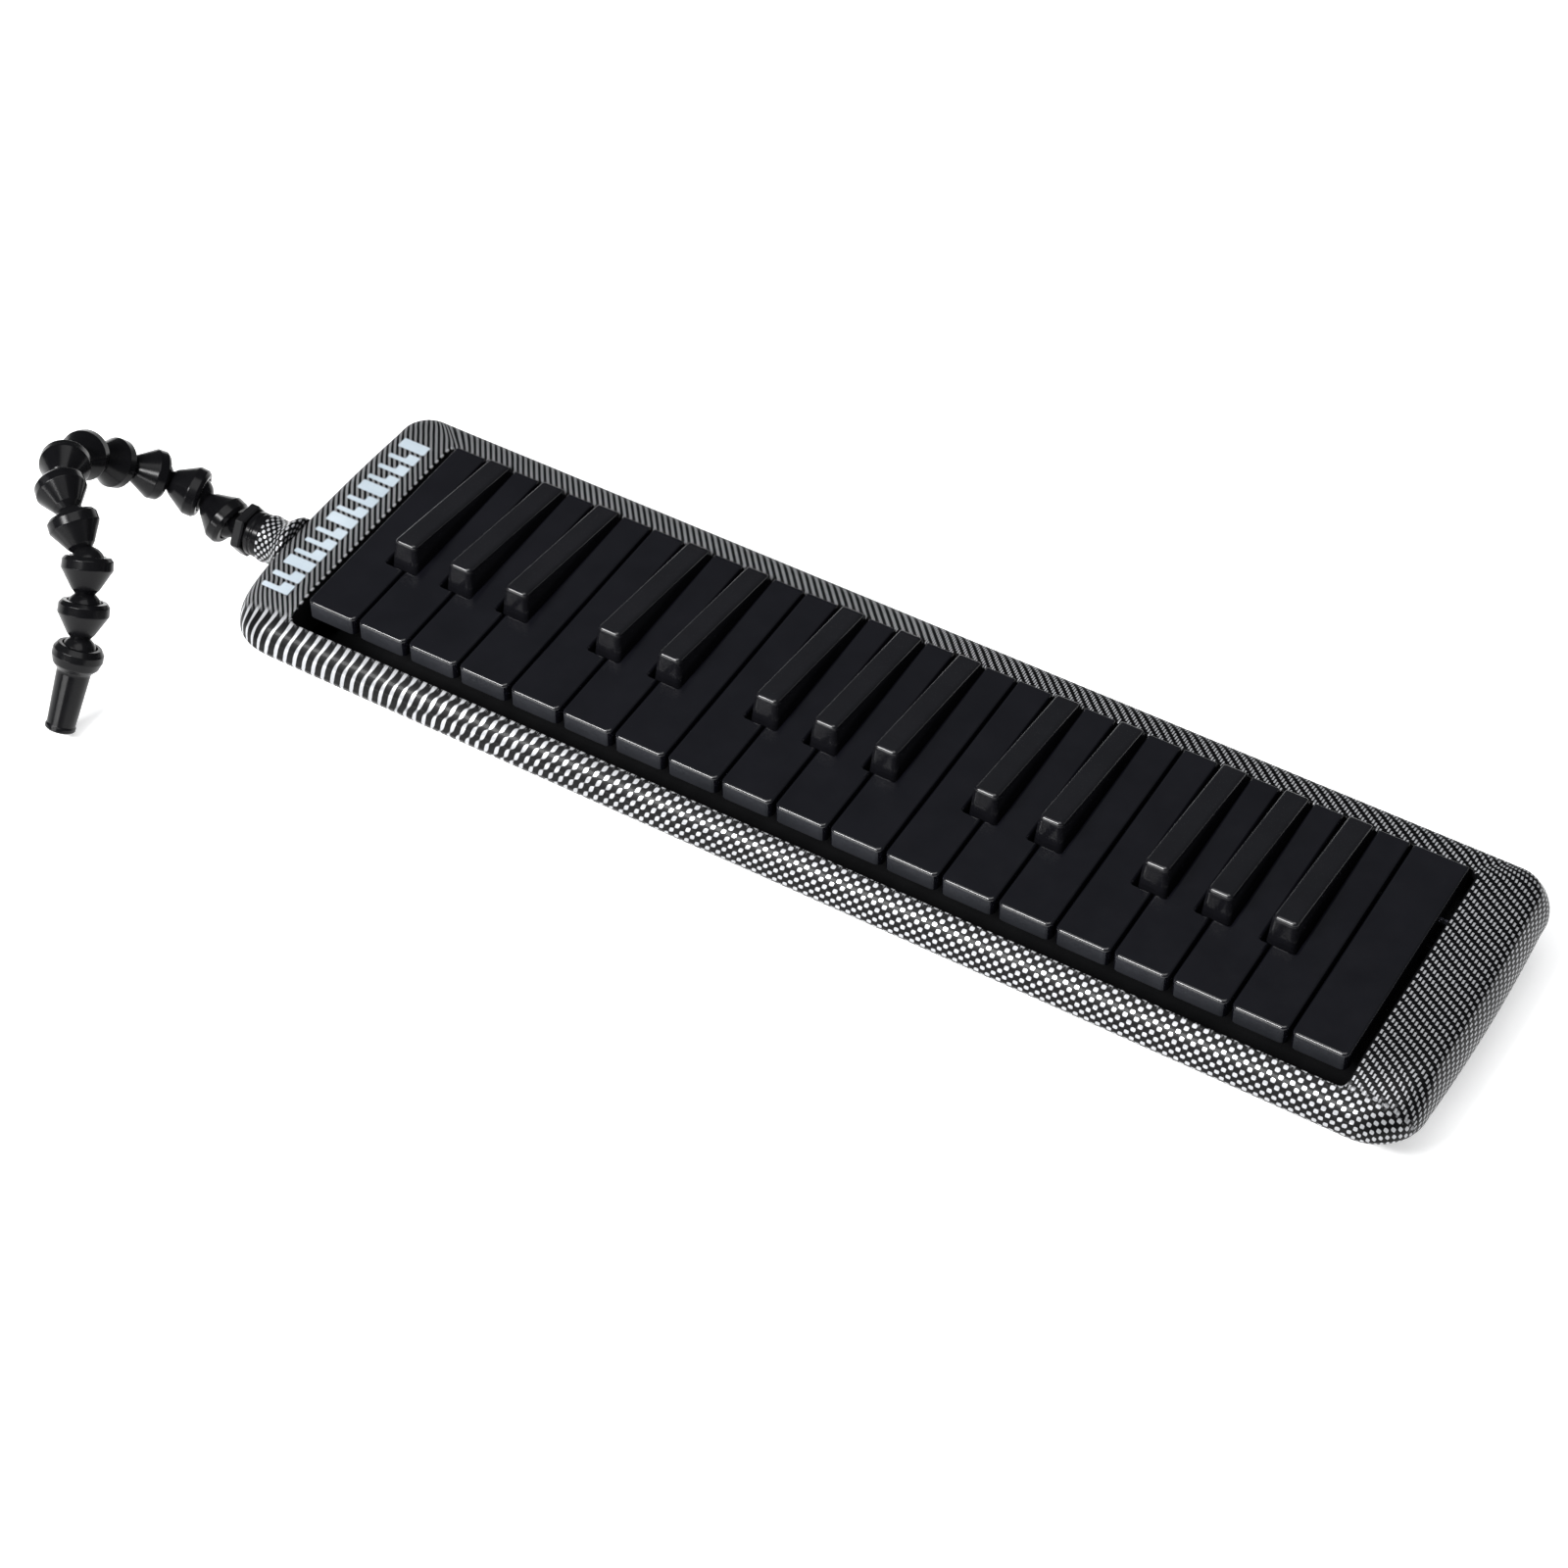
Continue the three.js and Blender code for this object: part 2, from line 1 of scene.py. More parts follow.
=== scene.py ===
"""Looks of a 32-key melodica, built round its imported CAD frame.

Sizes are in millimetres in the frame's own axes (X bass to treble, Y player to back, Z up)
until an object is made, which scales them to metres.
"""

import json
import math

import bpy
import numpy as np
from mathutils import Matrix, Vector


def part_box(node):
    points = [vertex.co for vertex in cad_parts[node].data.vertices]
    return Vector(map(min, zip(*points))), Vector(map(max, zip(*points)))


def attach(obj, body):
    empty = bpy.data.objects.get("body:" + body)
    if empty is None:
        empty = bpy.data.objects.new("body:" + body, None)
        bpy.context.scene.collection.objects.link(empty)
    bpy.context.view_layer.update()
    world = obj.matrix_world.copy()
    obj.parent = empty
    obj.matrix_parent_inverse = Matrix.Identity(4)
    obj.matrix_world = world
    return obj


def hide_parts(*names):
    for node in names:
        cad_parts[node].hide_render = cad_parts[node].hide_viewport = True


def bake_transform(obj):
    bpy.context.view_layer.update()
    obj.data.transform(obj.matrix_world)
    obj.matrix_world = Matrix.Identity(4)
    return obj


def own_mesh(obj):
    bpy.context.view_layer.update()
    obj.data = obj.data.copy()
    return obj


MM = 0.001

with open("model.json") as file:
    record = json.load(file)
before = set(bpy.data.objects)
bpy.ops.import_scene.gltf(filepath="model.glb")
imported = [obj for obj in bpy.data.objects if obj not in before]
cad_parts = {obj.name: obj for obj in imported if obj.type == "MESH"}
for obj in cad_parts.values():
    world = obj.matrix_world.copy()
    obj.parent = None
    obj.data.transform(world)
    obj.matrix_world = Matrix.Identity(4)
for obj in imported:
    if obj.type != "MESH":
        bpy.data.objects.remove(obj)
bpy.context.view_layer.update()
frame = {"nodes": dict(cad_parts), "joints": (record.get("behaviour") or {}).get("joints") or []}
scene = bpy.context.scene

# Driving dimensions, the same as the CAD part's
KEY_PITCH = 19.6
NATURAL_COUNT = 19
KEY_GAP = 1.0
KEY_FRONT, KEY_BACK = -42.0, 45.0
KEY_TOP, KEY_DEPTH, KEY_WALL = 33.5, 7.0, 2.0
SHARP_WIDTH, SHARP_TOP_WIDTH = 10.5, 8.5
SHARP_FRONT, SHARP_LEAN = -13.0, 2.0
SHARP_RISE_FRONT, SHARP_RISE_BACK = 8.5, 1.0
LEVER_WIDTH = 6.0
PIVOT_Y, PIVOT_Z, PIVOT_RADIUS = 30.0, 22.0, 1.5
CASE_HALF_LENGTH, CASE_BACK, CASE_WALL = 211.7, 58.3, 2.4
CASE_TOP, CASE_SPLIT, TRAY_FLOOR = 31.5, 12.0, 2.2
CORNER_FRONT, CORNER_BACK, END_BOW = 17.0, 11.0, 1.2
OPENING_HALF_LENGTH, OPENING_FRONT, OPENING_BACK = 188.3, -48.5, 45.6
SKIRT_BOTTOM, SKIRT_RAISED, SKIRT_END, SKIRT_RAMP = 15.0, 27.8, 21.6, 9.0
FOOT_HEIGHT, FOOT_RADIUS, FOOT_RECESS = 2.5, 4.5, 1.0
UNDERSIDE_ROUND = 0.25
SPRING_STRIP_TOP, SPRING_THICKNESS = 13.1, 0.25
CHAMBER_TOP, REED_PLATE_TOP = 16.0, 8.0
INLET_Y, INLET_Z, NECK_RADIUS, NECK_BORE, NECK_END = -16.0, 23.0, 8.0, 6.5, -221.2
BALL_RADIUS, SOCKET_RADIUS, HOSE_BORE, HOSE_PITCH = 5.9, 6.45, 2.4, 14.5
CONNECTOR_REACH, MOUTHPIECE_LENGTH = 17.0, 27.0
GAP, FLOOR_GAP = 0.3, 0.05
DRAIN_WIRE_RADIUS, DRAIN_SPRING_TURNS = 0.35, 3
BARREL_REACH = 8.3
TOW = 0.78
NECK_SIDES, NECK_PRINT_REPEATS, NECK_PRINT_STRETCH = 72, 18, 1.4
NOSE_PITCH_X, NOSE_PITCH_Y, BASS_SHARE = 3.74, 3.35, 0.15

# Notes of one octave from C: how far each sharp sits from the middle of its gap
NATURAL_LETTERS = "cdefgab"
SHARP_OFFSETS = {"c": -1.3, "d": 1.8, "f": -1.5, "g": 0.3, "a": 2.4}
FIRST_LETTER, FIRST_OCTAVE = 3, 3

# Case levels from the bottom up: height, inset at the ends, inset at the back, front y
CASE_LEVELS = np.array([
    [0, 13, 7, -40], [2, 10, 4.5, -43], [6, 6, 2.5, -47], [12, 2.2, 1, -52.6],
    [17.5, 0.2, 0.2, -56.6], [20, 0, 0, -56.8], [23, 0.3, 0.3, -55.8], [26, 1.2, 1, -53],
    [28.3, 2.3, 2, -48.8], [30.4, 3.6, 3.2, -43], [31.5, 6.4, 6, -36],
])
WIDEST_LEVEL = 5


# Meshes

def add_object(name, vertices, faces, materials, body, smooth_angle=40.0):
    """Makes one mesh in metres, smooth-shaded up to smooth_angle, riding on a CAD body if one is given."""
    mesh = bpy.data.meshes.new(name)
    points = (np.asarray(vertices, float) * MM).tolist()
    mesh.from_pydata(points, [], [tuple(int(i) for i in face) for face in faces])
    for each in materials:
        mesh.materials.append(each)
    mesh.polygons.foreach_set("use_smooth", [True] * len(mesh.polygons))
    mesh.set_sharp_from_angle(angle=math.radians(smooth_angle))
    mesh.validate()
    obj = bpy.data.objects.new(name, mesh)
    scene.collection.objects.link(obj)
    weighted = obj.modifiers.new("weighted_normals", "WEIGHTED_NORMAL")
    weighted.keep_sharp = True
    if body:
        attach(obj, body)
    return obj


def facing_out(vertices, faces):
    """The faces of a closed shell, all turned round if they face inward."""
    triangles = [(face[0], face[i], face[i + 1]) for face in faces for i in range(1, len(face) - 1)]
    volume = np.linalg.det(vertices[np.array(triangles)]).sum()
    return faces if volume > 0 else [face[::-1] for face in faces]


def ring_faces(count, pairs):
    """Quads between pairs of rings of count points each."""
    faces = []
    for low, high in pairs:
        for index in range(count):
            after = (index + 1) % count
            faces.append((low * count + index, low * count + after,
                          high * count + after, high * count + index))
    return faces


def skin(rings, loop=False):
    """A closed shell through rings of equal length: its ends are capped, or joined to each other."""
    count = len(rings[0])
    vertices = np.concatenate(rings)
    pairs = list(zip(range(len(rings) - 1), range(1, len(rings))))
    if loop:
        faces = ring_faces(count, pairs + [(len(rings) - 1, 0)])
    else:
        faces = ring_faces(count, pairs)
        faces.append(tuple(range(count))[::-1])
        faces.append(tuple(range((len(rings) - 1) * count, len(rings) * count)))
    return vertices, facing_out(vertices, faces)


def fillet(points, radius, steps=4, closed=True):
    """A 2-D outline with its corners rounded; radius is one number, or one for each corner."""
    points = [np.array(p, float) for p in points]
    radii = np.broadcast_to(np.asarray(radius, float), (len(points),))
    rounded = []
    for index, corner in enumerate(points):
        is_end = not closed and index in (0, len(points) - 1)
        back, ahead = points[index - 1] - corner, points[(index + 1) % len(points)] - corner
        back_length, ahead_length = np.hypot(*back), np.hypot(*ahead)
        back, ahead = back / back_length, ahead / ahead_length
        half = math.acos(np.clip(back @ ahead, -1, 1)) / 2
        if is_end or radii[index] <= 0 or half > math.pi / 2 - 0.02:
            rounded.append(corner)
            continue
        reach = min(radii[index] / math.tan(half), 0.48 * back_length, 0.48 * ahead_length)
        true_radius = reach * math.tan(half)
        middle = (back + ahead) / np.hypot(*(back + ahead))
        centre = corner + middle * true_radius / math.sin(half)
        start, end = corner + back * reach - centre, corner + ahead * reach - centre
        first = math.atan2(start[1], start[0])
        sweep = (math.atan2(end[1], end[0]) - first + math.pi) % (2 * math.pi) - math.pi
        for step in range(steps + 1):
            angle = first + sweep * step / steps
            rounded.append(centre + true_radius * np.array([math.cos(angle), math.sin(angle)]))
    return np.array(rounded)


def inset(points, distance):
    """Moves every side of an anticlockwise outline inward by the same distance."""
    points = np.asarray(points, float)
    side = np.roll(points, -1, axis=0) - points
    side /= np.linalg.norm(side, axis=1)[:, None]
    inward = np.stack([-side[:, 1], side[:, 0]], axis=1)
    before = np.roll(inward, 1, axis=0)
    share = 1 + (inward * before).sum(axis=1)
    return points + (inward + before) * (distance / share)[:, None]


def is_convex(points):
    """For each corner of an anticlockwise outline, whether it turns left."""
    points = np.asarray(points, float)
    ahead = np.roll(points, -1, axis=0) - points
    back = points - np.roll(points, 1, axis=0)
    return back[:, 0] * ahead[:, 1] - back[:, 1] * ahead[:, 0] > 0


def flat_ring(outline, height):
    """A 2-D outline laid level at one height."""
    outline = np.asarray(outline, float)
    return np.column_stack([outline, np.full(len(outline), height)])


def edge_rows(radius, steps=4):
    """(inset, drop) pairs that round an edge over, from the side up to the top."""
    angles = [math.pi / 2 * step / steps for step in range(steps + 1)]
    return [(radius * (1 - math.cos(a)), radius * (1 - math.sin(a))) for a in angles]


def turned(profile, sides=64):
    """One ring about Z for each [radius, along] point of a profile, for skin() to close."""
    angles = np.linspace(0, 2 * math.pi, sides, endpoint=False)
    return [np.column_stack([r * np.cos(angles), r * np.sin(angles), np.full(sides, z)])
            for r, z in profile]


def place(rings, point, direction):
    """Stands rings made about +Z on a point, with +Z turned to a direction."""
    turn = np.array(Vector((0, 0, 1)).rotation_difference(Vector(direction)).to_matrix())
    return [ring @ turn.T + np.asarray(point) for ring in rings]


def side_extrusion(profile, left, right, edge=0.4):
    """A [y, z] outline extruded along X with its two rims bevelled."""
    stations = [(left, edge), (left + edge, 0), (right - edge, 0), (right, edge)]
    rings = []
    for x, amount in stations:
        outline = inset(profile, amount)
        rings.append(np.column_stack([np.full(len(outline), x), outline]))
    return skin(rings)


def rounded_block(low, high, radius):
    """A box with rounded vertical corners and rounded top and bottom rims."""
    corners = [(low[0], low[1]), (high[0], low[1]), (high[0], high[1]), (low[0], high[1])]
    rings = []
    for amount, drop in edge_rows(radius, 2)[::-1]:
        rings.append(flat_ring(fillet(inset(corners, amount), radius * 1.5, 3), low[2] + drop))
    for amount, drop in edge_rows(radius, 2):
        rings.append(flat_ring(fillet(inset(corners, amount), radius * 1.5, 3), high[2] - drop))
    return skin(rings)


def joined(*parts):
    """Several closed shells as one vertex and face list."""
    vertices, faces, start = [], [], 0
    for points, polygons in parts:
        vertices.append(points)
        faces += [tuple(i + start for i in face) for face in polygons]
        start += len(points)
    return np.concatenate(vertices), faces


# Materials

class Nodes:
    """Short calls for building one material's node tree."""

    def __init__(self, name):
        self.material = bpy.data.materials.new(name)
        self.material.use_nodes = True
        self.tree = self.material.node_tree
        self.shader = self.tree.nodes["Principled BSDF"]

    def add(self, kind, inputs=None, **settings):
        node = self.tree.nodes.new(kind)
        for key, value in settings.items():
            setattr(node, key, value)
        for key, value in (inputs or {}).items():
            if isinstance(value, bpy.types.NodeSocket):
                self.tree.links.new(value, node.inputs[key])
            else:
                node.inputs[key].default_value = value
        return node

    def math(self, operation, first, second=0.0, clamp=False):
        node = self.add("ShaderNodeMath", {0: first, 1: second}, operation=operation)
        node.use_clamp = clamp
        return node.outputs[0]

    def noise(self, scale, detail=3.0, coordinates=None):
        where = coordinates or self.add("ShaderNodeTexCoord").outputs["Object"]
        settings = {"Vector": where, "Scale": scale, "Detail": detail}
        return self.add("ShaderNodeTexNoise", settings).outputs["Fac"]

    def spread(self, value, low, high, start=0.0, end=1.0):
        return self.add("ShaderNodeMapRange", {
            "Value": value, "From Min": start, "From Max": end, "To Min": low, "To Max": high,
        }).outputs["Result"]

    def mix(self, factor, first, second):
        node = self.add("ShaderNodeMix", data_type="RGBA")
        values = ((node.inputs["Factor"], factor), (node.inputs[6], first), (node.inputs[7], second))
        for socket, value in values:
            if isinstance(value, bpy.types.NodeSocket):
                self.tree.links.new(value, socket)
            else:
                socket.default_value = value
        return node.outputs[2]

    def bump(self, height, strength, distance_mm):
        return self.add("ShaderNodeBump", {
            "Height": height, "Strength": strength, "Distance": distance_mm * MM,
        }).outputs["Normal"]

    def set(self, **sockets):
        """Sets the shader's sockets; underscores in the names stand for spaces."""
        for key, value in sockets.items():
            socket = self.shader.inputs[key.replace("_", " ")]
            if isinstance(value, bpy.types.NodeSocket):
                self.tree.links.new(value, socket)
            else:
                socket.default_value = value
        return self.material


def moulded_plastic(name, dark, light, roughness, grain_mm=0.35, grain=0.12, gloss=0.5, wear=0.25):
    """Dark plastic: mottled colour, hazed gloss, a fine moulded grain and paler worn edges."""
    n = Nodes(name)
    mottle = n.noise(60.0, 4.0)
    colour = n.mix(n.spread(mottle, 0.0, 1.0, 0.35, 0.65), dark, light)
    edge = n.spread(n.add("ShaderNodeNewGeometry").outputs["Pointiness"], 0.0, wear, 0.52, 0.6)
    worn = tuple(min(1.0, 2.2 * c + 0.02) for c in light[:3]) + (1.0,)
    colour = n.mix(edge, colour, worn)
    haze = n.spread(n.noise(140.0, 5.0), roughness - 0.03, roughness + 0.04, 0.3, 0.7)
    return n.set(
        Base_Color=colour, Roughness=haze, Specular_IOR_Level=gloss,
        Normal=n.bump(n.noise(1.0 / (grain_mm * MM), 2.0), grain, 0.03))


def twill_cells(n, film):
    """Light floats two tows long, each a step along from its neighbour, running back left to front right.

    The film is stretched towards the treble end, so its lines lie flatter there."""
    stretch = n.spread(film[0], 1.33, 0.77, -0.25, 0.25)
    tows = [n.math("DIVIDE", along, TOW * MM) for along in (n.math("MULTIPLY", film[0], stretch), film[1])]
    steps = [n.math("FLOOR", tow) for tow in tows]
    phase = n.math("FLOORED_MODULO", n.math("ADD", *steps), 4.0)
    is_light = n.math("LESS_THAN", phase, 1.5)
    across = n.math("SINE", n.math("MULTIPLY", n.math("FRACT", tows[0]), math.pi))
    return n.spread(n.math("MULTIPLY", across, is_light), 0.0, 1.0, 0.48, 0.95)


def nose_dots(n, film, lean):
    """Where the film is drawn down over the nose its floats open into a checker of soft dots."""
    right = n.math("DIVIDE", film[0], NOSE_PITCH_X * MM / (2 * math.pi))
    slope = n.spread(film[0], BASS_SHARE, 1.0, -0.15, -0.01)
    below_edge = n.math("SUBTRACT", film[1], OPENING_FRONT * MM)
    down = n.math("MULTIPLY", n.math("DIVIDE", below_edge, NOSE_PITCH_Y * MM / (2 * math.pi)), slope)
    falling = n.math("MULTIPLY", n.math("COSINE", n.math("ADD", right, down)), lean)
    rising = n.math("COSINE", n.math("SUBTRACT", right, down))
    return n.spread(n.math("ADD", falling, rising), 0.0, 1.0, 0.3, 0.75)


def woven_print():
    """Gloss black film with a silver twill."""
    n = Nodes("woven_print")
    place_on_film = n.add("ShaderNodeUVMap", uv_map="weave").outputs["UV"]
    wander = n.add("ShaderNodeTexNoise", {"Vector": place_on_film, "Scale": 35.0, "Detail": 2.0})
    drift = n.add(
        "ShaderNodeVectorMath", {0: wander.outputs["Color"], 1: (0.5, 0.5, 0.5)}, operation="SUBTRACT")
    drift = n.add("ShaderNodeVectorMath", {0: drift.outputs[0], "Scale": 0.9 * MM}, operation="SCALE")
    moved = n.add("ShaderNodeVectorMath", {0: place_on_film, 1: drift.outputs[0]}, operation="ADD").outputs[0]
    film = n.add("ShaderNodeSeparateXYZ", {0: moved}).outputs
    nose = n.add("ShaderNodeAttribute", attribute_name="nose").outputs["Fac"]
    lean = n.add("ShaderNodeAttribute", attribute_name="lean").outputs["Fac"]
    cells, dots = twill_cells(n, film), nose_dots(n, film, lean)
    light = n.add("ShaderNodeMix", {"Factor": nose, 2: cells, 3: dots}).outputs[0]
    stretched = n.add("ShaderNodeVectorMath", {0: moved, 1: (9000.0, 900.0, 1.0)}, operation="MULTIPLY")
    fibres = n.noise(1.0, 2.0, stretched.outputs[0])
    cloud = n.spread(n.noise(18.0, 3.0), 0.85, 1.1, 0.35, 0.65)
    tone = n.math("MULTIPLY", n.math("MULTIPLY", light, n.spread(fibres, 0.75, 1.1, 0.3, 0.7)), cloud)
    return n.set(
        Base_Color=n.mix(tone, (0.0012, 0.0012, 0.0015, 1), (0.40, 0.405, 0.42, 1)),
        Roughness=n.spread(light, 0.42, 0.28), Metallic=n.math("MULTIPLY", light, 0.35),
        Specular_IOR_Level=0.1, Coat_Weight=0.04, Coat_Roughness=0.1,
        Normal=n.bump(light, 0.25, 0.04))


def brushed_metal(name, colour, roughness, stretch):
    """Metal with fine lines drawn along one axis and a slight stain."""
    n = Nodes(name)
    where = n.add("ShaderNodeTexCoord").outputs["Object"]
    lined = n.add("ShaderNodeVectorMath", {0: where, 1: stretch}, operation="MULTIPLY").outputs[0]
    lines = n.noise(1.0, 3.0, lined)
    stain = n.spread(n.noise(90.0, 4.0), 0.0, 0.5, 0.45, 0.75)
    darker = tuple(0.55 * c for c in colour[:3]) + (1.0,)
    return n.set(
        Base_Color=n.mix(stain, colour, darker), Metallic=1.0,
        Roughness=n.spread(lines, roughness - 0.08, roughness + 0.1, 0.3, 0.7),
        Normal=n.bump(lines, 0.1, 0.01))


def soft_rubber(name, dark, light, roughness):
    """Matt rubber, dusty in patches, with a fine grain."""
    n = Nodes(name)
    dust = n.spread(n.noise(220.0, 6.0), 0.0, 1.0, 0.4, 0.7)
    return n.set(
        Base_Color=n.mix(dust, dark, light), Roughness=roughness,
        Normal=n.bump(n.noise(3500.0, 2.0), 0.3, 0.04))


def pale_plastic(name, colour, shade):
    """Plastic in two cloudy shades with a fine grain."""
    n = Nodes(name)
    cloud = n.spread(n.noise(45.0, 4.0), 0.0, 1.0, 0.35, 0.65)
    return n.set(
        Base_Color=n.mix(cloud, colour, shade), Roughness=n.spread(n.noise(160.0), 0.38, 0.55, 0.3, 0.7),
        Normal=n.bump(n.noise(2600.0, 2.0), 0.12, 0.03))


def floor_paint():
    """A pale matt floor that glows a little, so that it stays white."""
    n = Nodes("floor_paint")
    cloud = n.spread(n.noise(2.5, 2.0), 0.0, 1.0, 0.3, 0.7)
    return n.set(
        Base_Color=n.mix(cloud, (0.84, 0.84, 0.84, 1), (0.86, 0.86, 0.86, 1)), Roughness=0.9,
        Specular_IOR_Level=0.1, Emission_Color=(1, 1, 1, 1), Emission_Strength=0.5,
        Normal=n.bump(n.noise(400.0), 0.02, 0.1))


PRINT = woven_print()
# Plastic for the case's inner faces, darker than the tray's outside: painted shade inside the case
INSIDE_PAINTED_SHADE = moulded_plastic(
    "case_inside_painted_shade", (0.004, 0.004, 0.0045, 1), (0.006, 0.006, 0.0066, 1), 0.5, grain=0.1, gloss=0.2, wear=0.0)
# Matt plastic for the naturals' front walls; its paler colour is painted light on the front faces
KEY_FRONT_PAINTED_LIGHT = moulded_plastic(
    "natural_front_painted_light", (0.013, 0.014, 0.017, 1), (0.019, 0.020, 0.024, 1), 0.42, grain=0.2, wear=0.0)
TRAY = moulded_plastic("tray_plastic", (0.010, 0.010, 0.011, 1), (0.016, 0.016, 0.018, 1), 0.42, grain=0.25)
NATURAL = moulded_plastic(
    "natural_plastic", (0.0026, 0.0026, 0.0040, 1), (0.0036, 0.0036, 0.0053, 1), 0.2,
    grain=0.02, gloss=0.5, wear=0.0)
SHARP = moulded_plastic(
    "sharp_plastic", (0.0040, 0.0040, 0.0052, 1), (0.0052, 0.0052, 0.0066, 1), 0.2,
    grain=0.02, gloss=0.5, wear=0.0)
HOSE = moulded_plastic(
    "hose_gloss", (0.0025, 0.0025, 0.003, 1), (0.004, 0.004, 0.0045, 1), 0.2, grain=0.03, gloss=0.12)
RUBBER = soft_rubber("foot_rubber", (0.012, 0.012, 0.012, 1), (0.03, 0.03, 0.03, 1), 0.85)
PAD = soft_rubber("pad_silicone", (0.55, 0.5, 0.4, 1), (0.62, 0.57, 0.47, 1), 0.7)
BRASS = brushed_metal("reed_brass", (0.72, 0.5, 0.2, 1), 0.3, (300.0, 9000.0, 300.0))
SPRING = brushed_metal("blued_spring", (0.06, 0.06, 0.075, 1), 0.35, (300.0, 300.0, 9000.0))
STEEL = brushed_metal("drawn_steel", (0.6, 0.61, 0.63, 1), 0.3, (300.0, 9000.0, 9000.0))
CHAMBER = pale_plastic("chamber_plastic", (0.007, 0.007, 0.008, 1), (0.005, 0.005, 0.006, 1))
INK = pale_plastic("pale_ink", (0.40, 0.455, 0.50, 1), (0.33, 0.385, 0.43, 1))


# Case

def smooth_levels(levels, each):
    """A smooth curve through the level rows, with `each` steps between two of them."""
    padded = np.vstack([2 * levels[0] - levels[1], levels, 2 * levels[-1] - levels[-2]])
    rows = []
    for index in range(1, len(padded) - 2):
        a, b, c, d = padded[index - 1:index + 3]
        for t in np.arange(each) / each:
            rows.append(0.5 * (2 * b + (c - a) * t + (2 * a - 5 * b + 4 * c - d) * t**2
                               + (3 * b - a - 3 * c + d) * t**3))
    return np.vstack([rows, levels[-1]])


# Stations round the case line up between the outer wall and the keyboard opening
STRAIGHT_X = np.linspace(-181.0, 181.0, 60)
STRAIGHT_Y = np.linspace(-22.5, 43.0, 15)
CORNER_STATIONS = 32
BOW_MIDDLE, BOW_REACH = 2.5, 40.5


def end_bow(y):
    """How far the ends bulge outward at a place between the front and the back."""
    return END_BOW * np.clip(1 - ((y - BOW_MIDDLE) / BOW_REACH) ** 2, 0, 1)


def corner_stations(start, centre, radius, first_angle, end):
    """Evenly spaced points from a side, round one corner, to the next side; both ends left out."""
    arc = [centre + radius * np.array([math.cos(a), math.sin(a)])
           for a in np.radians(np.linspace(first_angle, first_angle + 90, 25))]
    path = np.vstack([start, arc, end])
    along = np.concatenate([[0], np.cumsum(np.linalg.norm(np.diff(path, axis=0), axis=1))])
    wanted = np.linspace(0, along[-1], CORNER_STATIONS + 2)[1:-1]
    return np.column_stack([np.interp(wanted, along, path[:, axis]) for axis in (0, 1)])


def rounded_ring(half, front, back, fore, rear, bowed=True):
    """The stations on one rounded rectangle, whose ends may bow outward."""
    x_end, y_low, y_high = STRAIGHT_X[-1], STRAIGHT_Y[0], STRAIGHT_Y[-1]
    front_right = corner_stations(
        (x_end, front), np.array([half - fore, front + fore]), fore, -90, (half, y_low))
    back_right = corner_stations(
        (half, y_high), np.array([half - rear, back - rear]), rear, 0, (x_end, back))
    end = np.column_stack([np.full(len(STRAIGHT_Y), half), STRAIGHT_Y])
    mirror = np.array([-1, 1])
    ring = np.vstack([
        np.column_stack([STRAIGHT_X, np.full(len(STRAIGHT_X), front)]), front_right, end, back_right,
        np.column_stack([STRAIGHT_X[::-1], np.full(len(STRAIGHT_X), back)]), back_right[::-1] * mirror,
        end[::-1] * mirror, front_right[::-1] * mirror,
    ])
    if bowed:
        share = np.clip((np.abs(ring[:, 0]) - x_end) / (half - x_end), 0, 1)
        ring[:, 0] += np.sign(ring[:, 0]) * share * end_bow(ring[:, 1])
    return ring


def level_ring(level, wall=0.0):
    """The case's outline at one level, moved inward by a wall's thickness."""
    _, end_inset, back_inset, front = level
    rear = max(CORNER_BACK - wall - back_inset / 2, 2)
    fore = max(CORNER_FRONT - wall, 2)
    return rounded_ring(
        CASE_HALF_LENGTH - end_inset - wall, front + wall, CASE_BACK - back_inset - wall, fore, rear)


def top_surface(points, levels):
    """Height of the case above plan points: the highest level whose outline still holds each point."""
    x, y = np.abs(points[:, 0]), points[:, 1]
    bow = end_bow(y)
    low, high = np.zeros(len(points)), np.full(len(points), len(levels) - 1.0)
    for _ in range(40):
        guess = (low + high) / 2
        level = np.column_stack([np.interp(guess, np.arange(len(levels)), levels[:, i]) for i in range(4)])
        rear, fore = CORNER_BACK - level[:, 2] / 2, CORNER_FRONT
        back, front = CASE_BACK - level[:, 2], level[:, 3]
        at_back = y > (back + front) / 2
        radius = np.where(at_back, rear, fore)
        over_x = x - bow - (CASE_HALF_LENGTH - level[:, 1] - radius)
        over_y = np.where(at_back, y - (back - rear), front + fore - y)
        distance = np.hypot(np.maximum(over_x, 0), np.maximum(over_y, 0))
        distance += np.minimum(np.maximum(over_x, over_y), 0) - radius
        low, high = np.where(distance < 0, guess, low), np.where(distance < 0, high, guess)
    return np.interp(low, np.arange(len(levels)), levels[:, 0])


def outline_normals(outline):
    """Outward directions of an anticlockwise closed outline."""
    along = np.roll(outline, -1, axis=0) - np.roll(outline, 1, axis=0)
    normals = np.column_stack([along[:, 1], -along[:, 0]])
    return normals / np.linalg.norm(normals, axis=1)[:, None]


def lay_film(obj, uv_by_vertex, nose, lean):
    """Stores where each point is on the film, how far it is drawn over the nose, and how its dots lean."""
    for name, values in (("nose", nose), ("lean", lean)):
        attribute = obj.data.attributes.new(name, "FLOAT", "POINT")
        values = np.broadcast_to(values, len(obj.data.vertices))
        attribute.data.foreach_set("value", values.astype(np.float32))
    layer = obj.data.uv_layers.new(name="weave")
    loops = np.zeros(len(obj.data.loops), int)
    obj.data.loops.foreach_get("vertex_index", loops)
    layer.data.foreach_set("uv", (uv_by_vertex[loops] * MM).astype(np.float32).ravel())


